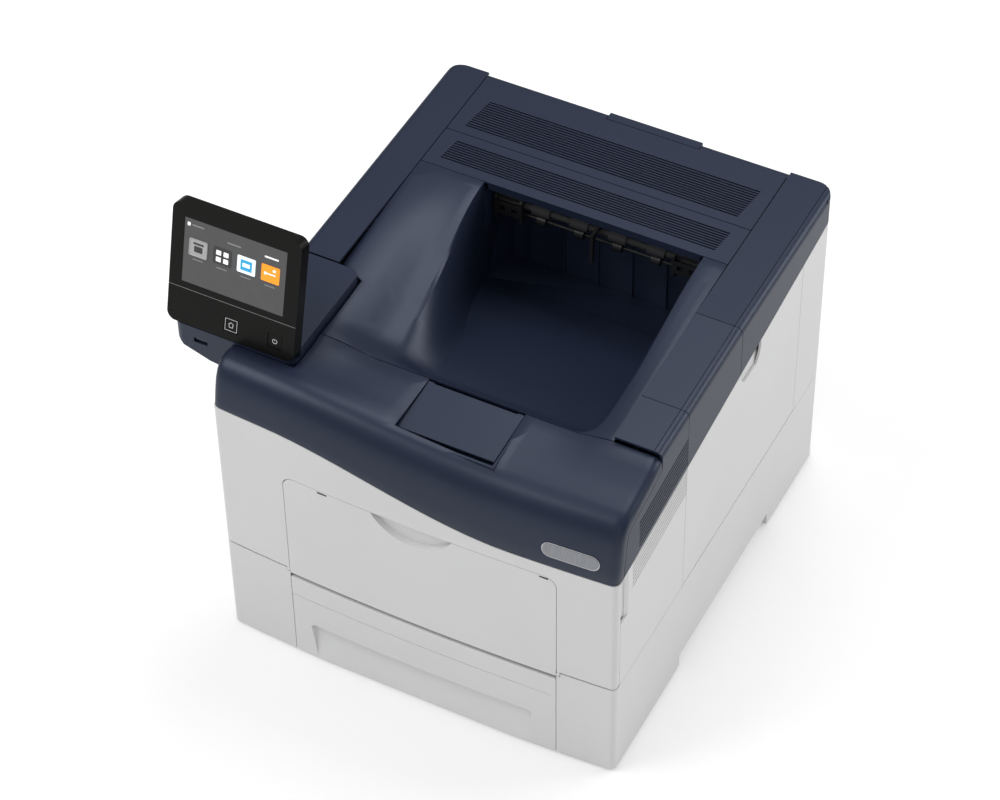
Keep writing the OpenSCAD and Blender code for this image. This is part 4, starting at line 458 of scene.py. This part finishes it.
class PRINTER_OT_screen(bpy.types.Operator):
    """Lays the tiles and symbols on the touch panel"""
    bl_idname = "printer.screen"
    bl_label = "Screen"

    def execute(self, context):
        orange = list(context.scene.printer_colours.orange)
        lit = {
            "grey": lit_screen("tile_grey", (0.30, 0.30, 0.30), 0.5),
            "dark": lit_screen("tile_dark", (0.035, 0.035, 0.037), 0.2),
            "pale": lit_screen("tile_pale", (0.75, 0.85, 0.92), 0.6),
            "blue": lit_screen("tile_blue", (0.02, 0.30, 0.55), 0.6),
            "orange": lit_screen("tile_orange", orange, 0.7),
            "white": lit_screen("symbol_white", (0.8, 0.8, 0.8), 0.6),
            "faint": lit_screen("symbol_grey", (0.2, 0.2, 0.2), 0.3),
        }
        put = []
        for i, colour in enumerate(("grey", "dark", "pale", "orange")):
            x = TILE_X + i * TILE_PITCH
            put.append(tile_at("tile_%d" % (i + 1), x, TILE_Z, (0, TILE_WIDE, 0, TILE_HIGH),
                               TILE_THICK, lit[colour], TILE_RADIUS))
            put.append(tile_at("caption_%d" % (i + 1), x, TILE_Z, CAPTION,
                               CAPTION_THICK, lit["faint"], CAPTION_RADIUS))
        for name, i, span, thick, colour, radius in TILE_SYMBOLS:
            put.append(tile_at(name, TILE_X + i * TILE_PITCH, TILE_Z, span, thick, lit[colour], radius))
        for name, span, colour, radius in SCREEN_MARKS:
            put.append(tile_at(name, SCREEN_X, SCREEN_Z, span, MARK_THICK, lit[colour], radius))
        put.append(tile_at("panel_line", 0, 0, PANEL_LINE, LINE_THICK, lit["faint"], LINE_RADIUS))
        for piece in put:
            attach(piece, "display")
        return {"FINISHED"}


# Keys, in millimetres on the panel: their middles, how far their faces stand back, and their symbols
HOME_X, POWER_X, KEY_Z, KEY_BACK = 66, 111, 17, 0.3
KEY_MARK_THICK, KEY_MARK_RADIUS = 0.1, 0.1
HOME_MARKS = [
    ("home_frame_low", (-6.2, 6.2, -6.2, -5.8)),
    ("home_frame_top", (-6.2, 6.2, 5.8, 6.2)),
    ("home_frame_left", (-6.2, -5.8, -6, 6)),
    ("home_frame_right", (5.8, 6.2, -6, 6)),
    ("home_wall_left", (-2.1, -1.6, -2.4, 0.6)),
    ("home_wall_right", (1.6, 2.1, -2.4, 0.6)),
    ("home_floor", (-2.1, 2.1, -2.6, -2.1)),
]
ROOF_SPAN, ROOF_PITCH, ROOF_OUT, ROOF_UP = (-1.9, 1.9, -0.25, 0.25), 38, 1.4, 1.7
RING_RADIUS, RING_WIRE, RING_GAP = 2.2, 0.3, 0.9
POWER_BAR = (-0.25, 0.25, 0.4, 2.6)


def key_mark(name, x, z, span, mat):
    """A mark on a key's face, which stands a little behind the panel's face."""
    piece = tile_at(name, x, z, span, KEY_MARK_THICK, mat, KEY_MARK_RADIUS)
    piece.data.transform(Matrix.Translation(PANEL.to_3x3() @ Vector((0, KEY_BACK * MM, 0))))
    return piece


class PRINTER_OT_keys(bpy.types.Operator):
    """Puts the generic home and power symbols on the two keys"""
    bl_idname = "printer.keys"
    bl_label = "Key symbols"

    def execute(self, context):
        white = lit_screen("key_white", (0.55, 0.55, 0.55), 0.3)
        home = [key_mark(name, HOME_X, KEY_Z, span, white) for name, span in HOME_MARKS]
        for side in (-1, 1):
            slope = key_mark("home_roof_%d" % (side + 1), 0, 0, ROOF_SPAN, white)
            slope.data.transform(PANEL.inverted())
            slope.data.transform(Matrix.Rotation(math.radians(side * ROOF_PITCH), 4, "Y"))
            middle = ((HOME_X + side * ROOF_OUT) * MM, 0, (KEY_Z + ROOF_UP) * MM)
            slope.data.transform(Matrix.Translation(middle))
            slope.data.transform(PANEL)
            home.append(slope)
        for piece in home:
            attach(piece, "home_button")

        # Power ring, open at its top for the bar
        bpy.ops.object.select_all(action="DESELECT")
        bpy.ops.mesh.primitive_torus_add(major_radius=RING_RADIUS * MM, minor_radius=RING_WIRE * MM,
                                         major_segments=40, minor_segments=8,
                                         rotation=(math.radians(90), 0, 0))
        ring = context.object
        ring.name = "power_ring"
        settle(ring)
        open_ring = bmesh.new()
        open_ring.from_mesh(ring.data)
        gap = [v for v in open_ring.verts if v.co.z > 0 and abs(v.co.x) < RING_GAP * MM]
        bmesh.ops.delete(open_ring, geom=gap, context="VERTS")
        bmesh.ops.holes_fill(open_ring, edges=open_ring.edges)
        open_ring.to_mesh(ring.data)
        open_ring.free()
        ring.data.transform(Matrix.Translation((POWER_X * MM, KEY_BACK * MM, KEY_Z * MM)))
        ring.data.transform(PANEL)
        paint(ring, white)
        bar = key_mark("power_bar", POWER_X, KEY_Z, POWER_BAR, white)
        for piece in (ring, bar):
            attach(piece, "power_button")
        return {"FINISHED"}


def box_piece(name, low, high, mat, soft=0.2):
    """A softened block from its lowest to its highest corner, in millimetres."""
    bpy.ops.object.select_all(action="DESELECT")
    bpy.ops.mesh.primitive_cube_add(size=1)
    piece = bpy.context.object
    piece.name = name
    piece.scale = [(b - a) * MM for a, b in zip(low, high)]
    piece.location = [(a + b) / 2 * MM for a, b in zip(low, high)]
    settle(piece)
    soften(piece, soft * MM)
    paint(piece, mat)
    return piece


def front_of(cover, x, z):
    """The place where a cover's front face lies behind x and z."""
    ahead_of_covers = -0.3
    hit, place, normal, face = cover.ray_cast((x, ahead_of_covers, z), (0, 1, 0))
    if not hit:
        raise RuntimeError("no face of %s at %.4f, %.4f" % (cover.name, x, z))
    return place


# Blank pill-shaped plate, in millimetres: its size and its middle
PLATE_LONG, PLATE_HIGH = 55, 16.5
PLATE_X, PLATE_Z = 157.5, 279.5
# Its wall, how far its rim and face stand out, and how far the face lies inside the rim
PLATE_THICK, RIM_LIFT, FACE_LIFT, FACE_INSET = 1.2, 0.6, 0.9, 0.9
# Places where the cover's face is measured for it, each way from its middle
FIT_COLUMNS, FIT_ROWS = 12, 6
# Edges sharper than this many degrees stay sharp on the plate
PLATE_SHARP_ANGLE = 40


def curve_terms(x, z):
    """Terms of a smooth second-degree surface over x and z."""
    return (1, x, z, x * x, x * z, z * z)


class PRINTER_OT_plate(bpy.types.Operator):
    """Sets the blank pill-shaped plate in the front cover"""
    bl_idname = "printer.plate"
    bl_label = "Blank plate"

    def execute(self, context):
        cover = bpy.data.objects["front_cover_cover"]
        half, r = PLATE_LONG * MM / 2, PLATE_HIGH * MM / 2
        mid_x, mid_z = PLATE_X * MM, PLATE_Z * MM
        # A smooth surface through the cover's own face, so the plate keeps to its curve
        rows, ys = [], []
        for i in range(2 * FIT_COLUMNS + 1):
            for k in range(2 * FIT_ROWS + 1):
                x, z = half * (i / FIT_COLUMNS - 1), r * (k / FIT_ROWS - 1)
                rows.append(curve_terms(x, z))
                ys.append(front_of(cover, mid_x + x, mid_z + z).y)
        fit = np.linalg.lstsq(np.array(rows), np.array(ys), rcond=None)[0]
        proud = max(np.array(rows) @ fit - np.array(ys))
        metal = rolled_metal("plate_metal", (0.30, 0.31, 0.33), (0.25, 0.34), (180.0, 8.0, 8.0))
        bright = rolled_metal("plate_rim", (0.55, 0.56, 0.58), (0.2, 0.3), (8.0, 8.0, 8.0))
        for name, mat, inset, lift in (("plate_rim", bright, 0, RIM_LIFT),
                                       ("plate_face", metal, FACE_INSET, FACE_LIFT)):
            bpy.ops.object.select_all(action="DESELECT")
            bpy.ops.mesh.primitive_grid_add(x_subdivisions=72, y_subdivisions=36, size=2)
            piece = context.object
            piece.name = name
            end_r, end_x = r - inset * MM, half - inset * MM
            for v in piece.data.vertices:
                a, b = v.co.x, v.co.y
                x = a * (end_x - end_r + end_r * math.sqrt(max(1 - b * b, 0)))
                z = b * end_r
                y = float(np.dot(fit, curve_terms(x, z)))
                out = Vector((fit[1] + 2 * fit[3] * x + fit[4] * z, -1, fit[2] + fit[4] * x + 2 * fit[5] * z))
                v.co = Vector((mid_x + x, y, mid_z + z)) + out.normalized() * (lift * MM + proud)
            add_modifier(piece, "SOLIDIFY", thickness=PLATE_THICK * MM, offset=-1.0)
            apply_all(piece)
            select_only(piece)
            bpy.ops.object.mode_set(mode="EDIT")
            bpy.ops.mesh.select_all(action="SELECT")
            bpy.ops.mesh.normals_make_consistent(inside=False)
            bpy.ops.object.mode_set(mode="OBJECT")
            bpy.ops.object.shade_smooth_by_angle(angle=math.radians(PLATE_SHARP_ANGLE))
            paint(piece, mat)
            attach(piece, "front_door")
        return {"FINISHED"}


# Linings in the finger recesses, in millimetres: their corners, and how far and over what run they slope in
CORNER_GRIP = ((198.5, -222.8, 200.5), (200.1, -212.0, 259.5))
CORNER_IN, CORNER_RUN = 4.6, 10.8
DOOR_SCOOP = ((198.5, 22.5, 273.0), (200.1, 67.5, 299.0))
SCOOP_IN, SCOOP_Z, SCOOP_RUN = 5.2, 275, 20
# Dark pieces of painted shade that stand for the latch slots at the top of the bypass door, a little proud of
# its face
LATCH_X, LATCH_HALF, LATCH_LOW, LATCH_TOP = (-88, 131), 6, 240.6, 242.4
LATCH_PROUD, LATCH_DEEP, LATCH_SOFT = 0.12, 1, 0.05
# Contact tongue in the memory-stick socket
TONGUE = ((-240, -190.5, 329.7), (-229, -179, 331.3))


class PRINTER_OT_recesses(bpy.types.Operator):
    """Lines the finger recesses and adds the socket's tongue and the dark pieces of painted shade that show
    as latch slots
    """
    bl_idname = "printer.recesses"
    bl_label = "Recess linings"

    def execute(self, context):
        pale = finish_for("pale")
        corner = box_piece("corner_grip", *CORNER_GRIP, pale)
        for v in corner.data.vertices:
            v.co.x -= CORNER_IN * MM * min(max((CORNER_GRIP[1][1] * MM - v.co.y) / (CORNER_RUN * MM), 0), 1)
        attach(corner, "chassis")
        scoop = box_piece("door_scoop", *DOOR_SCOOP, pale)
        for v in scoop.data.vertices:
            v.co.x -= SCOOP_IN * MM * min(max((v.co.z - SCOOP_Z * MM) / (SCOOP_RUN * MM), 0), 1)
        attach(scoop, "side_door")
        door = bpy.data.objects["bypass_tray_cover"]
        for i, x in enumerate(LATCH_X):
            y = front_of(door, x * MM, (LATCH_LOW + LATCH_TOP) / 2 * MM).y / MM
            # Each slot is a black box of painted shade laid on the door's face, not an opening
            slot_shade = box_piece("latch_slot_%d" % (i + 1), (x - LATCH_HALF, y - LATCH_PROUD, LATCH_LOW),
                              (x + LATCH_HALF, y + LATCH_DEEP, LATCH_TOP), finish_for("dark"), LATCH_SOFT)
            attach(slot_shade, "bypass_tray")
        tongue = box_piece("socket_tongue", *TONGUE, finish_for("grey"))
        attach(tongue, "chassis")
        return {"FINISHED"}


# Turning knobs on the cartridges' ends, in millimetres
KNOB_RADIUS, KNOB_THICK, KNOB_PROUD, KNOB_SOFT = 11.8, 1.2, 0.2, 0.4
KNOB_Z = 242.36
KNOB_TINTS = {"yellow": (0.75, 0.55, 0.02), "magenta": (0.55, 0.02, 0.18),
              "cyan": (0.01, 0.25, 0.5), "black": (0.02, 0.02, 0.02)}


class PRINTER_OT_knobs(bpy.types.Operator):
    """Colours the turning knobs of the four toner cartridges"""
    bl_idname = "printer.knobs"
    bl_label = "Toner knobs"

    def execute(self, context):
        for i, (name, tint) in enumerate(KNOB_TINTS.items()):
            low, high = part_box("toner_%d" % (i + 1))
            place = (high[0] + KNOB_PROUD * MM, (low[1] + high[1]) / 2, KNOB_Z * MM)
            bpy.ops.object.select_all(action="DESELECT")
            bpy.ops.mesh.primitive_cylinder_add(vertices=64, radius=KNOB_RADIUS * MM, depth=KNOB_THICK * MM,
                                                location=place, rotation=(0, math.radians(90), 0))
            piece = context.object
            piece.name = "knob_" + name
            settle(piece)
            soften(piece, KNOB_SOFT * MM)
            paint(piece, moulded_plastic("knob_" + name, tint, (0.4, 0.5), 0.04))
            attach(piece, "chassis")
        return {"FINISHED"}


# Studio, in metres: the floor, the lights by name, place, aim and size, and the camera
FLOOR_SIZE, FLOOR_GREY, FLOOR_GLOW = 14, 0.8, 0.26
LAMPS = {
    "key": ("key_light", (-1.9, -1.3, 3.0), (0, 0, 0.2), 2.2),
    "fill": ("fill_light", (1.6, -3.2, 1.6), (0, 0, 0.15), 2.4),
    "side": ("side_light", (2.3, 2.1, 1.7), (0, 0, 0.3), 1.7),
    "back": ("back_light", (-0.1, 1.3, 3.2), (0, 0, 0.3), 1.5),
}
CAMERA_PLACE = (0.99517, -1.92391, 2.43027)
CAMERA_TURN = (43.98729, 0.67196, 27.42371)
CAMERA_LENS, CAMERA_FILM = 119.07, 36.0
# Share of the surrounding light that the covers mirror
MIRRORED_SHARE = 0.5


def studio_floor():
    bpy.ops.object.select_all(action="DESELECT")
    bpy.ops.mesh.primitive_grid_add(x_subdivisions=2, y_subdivisions=2, size=FLOOR_SIZE, location=(0, 0, 0))
    floor = bpy.context.object
    floor.name = "studio_floor"
    mat = bpy.data.materials.new("studio_floor")
    mat.use_nodes = True
    tree = mat.node_tree
    shader = tree.nodes["Principled BSDF"]
    shader.inputs["Base Color"].default_value = (FLOOR_GREY, FLOOR_GREY, FLOOR_GREY, 1)
    shader.inputs["Roughness"].default_value = 0.85
    shader.inputs["Specular IOR Level"].default_value = 0.1
    # The camera sees the floor a little brighter than it is lit
    glow = tree.nodes.new("ShaderNodeEmission")
    path = tree.nodes.new("ShaderNodeLightPath")
    scale = tree.nodes.new("ShaderNodeMath")
    scale.operation = "MULTIPLY"
    scale.inputs[1].default_value = FLOOR_GLOW
    tree.links.new(path.outputs["Is Camera Ray"], scale.inputs[0])
    tree.links.new(scale.outputs["Value"], glow.inputs["Strength"])
    both = tree.nodes.new("ShaderNodeAddShader")
    tree.links.new(shader.outputs["BSDF"], both.inputs[0])
    tree.links.new(glow.outputs["Emission"], both.inputs[1])
    tree.links.new(both.outputs["Shader"], tree.nodes["Material Output"].inputs["Surface"])
    paint(floor, mat)


def studio_world(scene, ambient):
    """White where the camera looks past the printer, dimmer where it lights the covers."""
    world = bpy.data.worlds.new("studio_world")
    scene.world = world
    world.use_nodes = True
    tree = world.node_tree
    ground = tree.nodes["Background"]
    ground.inputs["Color"].default_value = (1, 1, 1, 1)
    ray = tree.nodes.new("ShaderNodeLightPath")
    seen = tree.nodes.new("ShaderNodeMath")
    seen.operation = "MAXIMUM"
    tree.links.new(ray.outputs["Is Camera Ray"], seen.inputs[0])
    tree.links.new(ray.outputs["Is Transmission Ray"], seen.inputs[1])
    span = tree.nodes.new("ShaderNodeMapRange")
    span.inputs["To Min"].default_value = ambient
    span.inputs["To Max"].default_value = 1.0
    tree.links.new(seen.outputs["Value"], span.inputs["Value"])
    dim = tree.nodes.new("ShaderNodeMapRange")
    dim.inputs["To Min"].default_value = 1.0
    dim.inputs["To Max"].default_value = MIRRORED_SHARE
    tree.links.new(ray.outputs["Is Glossy Ray"], dim.inputs["Value"])
    level = tree.nodes.new("ShaderNodeMath")
    level.operation = "MULTIPLY"
    tree.links.new(span.outputs["Result"], level.inputs[0])
    tree.links.new(dim.outputs["Result"], level.inputs[1])
    tree.links.new(level.outputs["Value"], ground.inputs["Strength"])


def studio_lamp(scene, name, place, aim, size, power):
    data = bpy.data.lights.new(name, "AREA")
    data.shape = "SQUARE"
    data.size = size
    data.energy = power
    lamp = bpy.data.objects.new(name, data)
    scene.collection.objects.link(lamp)
    lamp.location = place
    lamp.rotation_euler = (Vector(aim) - Vector(place)).to_track_quat("-Z", "Y").to_euler()


def studio_camera(scene):
    cam = bpy.data.cameras.new("camera")
    cam.lens = CAMERA_LENS
    cam.sensor_fit = "HORIZONTAL"
    cam.sensor_width = CAMERA_FILM
    cam.clip_end = 50.0
    camera = bpy.data.objects.new("camera", cam)
    scene.collection.objects.link(camera)
    camera.location = CAMERA_PLACE
    camera.rotation_euler = [math.radians(a) for a in CAMERA_TURN]
    scene.camera = camera


class PRINTER_OT_studio(bpy.types.Operator):
    """Sets the floor, the backdrop, the lights and the camera"""
    bl_idname = "printer.studio"
    bl_label = "Studio"

    def execute(self, context):
        scene = context.scene
        levels = scene.printer_studio
        studio_floor()
        studio_world(scene, levels.ambient)
        for level, (name, place, aim, size) in LAMPS.items():
            studio_lamp(scene, name, place, aim, size, getattr(levels, level))
        studio_camera(scene)
        scene.view_settings.view_transform = "Standard"
        return {"FINISHED"}


class PRINTER_PT_panel(bpy.types.Panel):
    """Lists the steps of the printer"""
    bl_idname = "PRINTER_PT_panel"
    bl_label = "Laser printer"
    bl_space_type = "VIEW_3D"
    bl_region_type = "UI"
    bl_category = "Printer"

    def draw(self, context):
        layout = self.layout
        scene = context.scene
        for owner in (scene.printer_covers, scene.printer_colours, scene.printer_studio):
            box = layout.box()
            for key in owner.__annotations__:
                box.prop(owner, key)
        for step in STEPS:
            layout.operator(step.bl_idname)


STEPS = (PRINTER_OT_studio, PRINTER_OT_finishes, PRINTER_OT_covers, PRINTER_OT_screen, PRINTER_OT_keys,
         PRINTER_OT_plate, PRINTER_OT_recesses, PRINTER_OT_knobs)
CLASSES = (CoverSettings, ColourSettings, StudioSettings) + STEPS + (PRINTER_PT_panel,)


def register():
    for cls in CLASSES:
        bpy.utils.register_class(cls)
    bpy.types.Scene.printer_covers = PointerProperty(type=CoverSettings)
    bpy.types.Scene.printer_colours = PointerProperty(type=ColourSettings)
    bpy.types.Scene.printer_studio = PointerProperty(type=StudioSettings)


def unregister():
    del bpy.types.Scene.printer_studio
    del bpy.types.Scene.printer_colours
    del bpy.types.Scene.printer_covers
    for cls in reversed(CLASSES):
        bpy.utils.unregister_class(cls)


def main():
    register()
    bpy.ops.printer.studio()
    bpy.ops.printer.finishes()
    bpy.ops.printer.covers()
    bpy.ops.printer.screen()
    bpy.ops.printer.keys()
    bpy.ops.printer.plate()
    bpy.ops.printer.recesses()
    bpy.ops.printer.knobs()


if __name__ == "__main__":
    main()
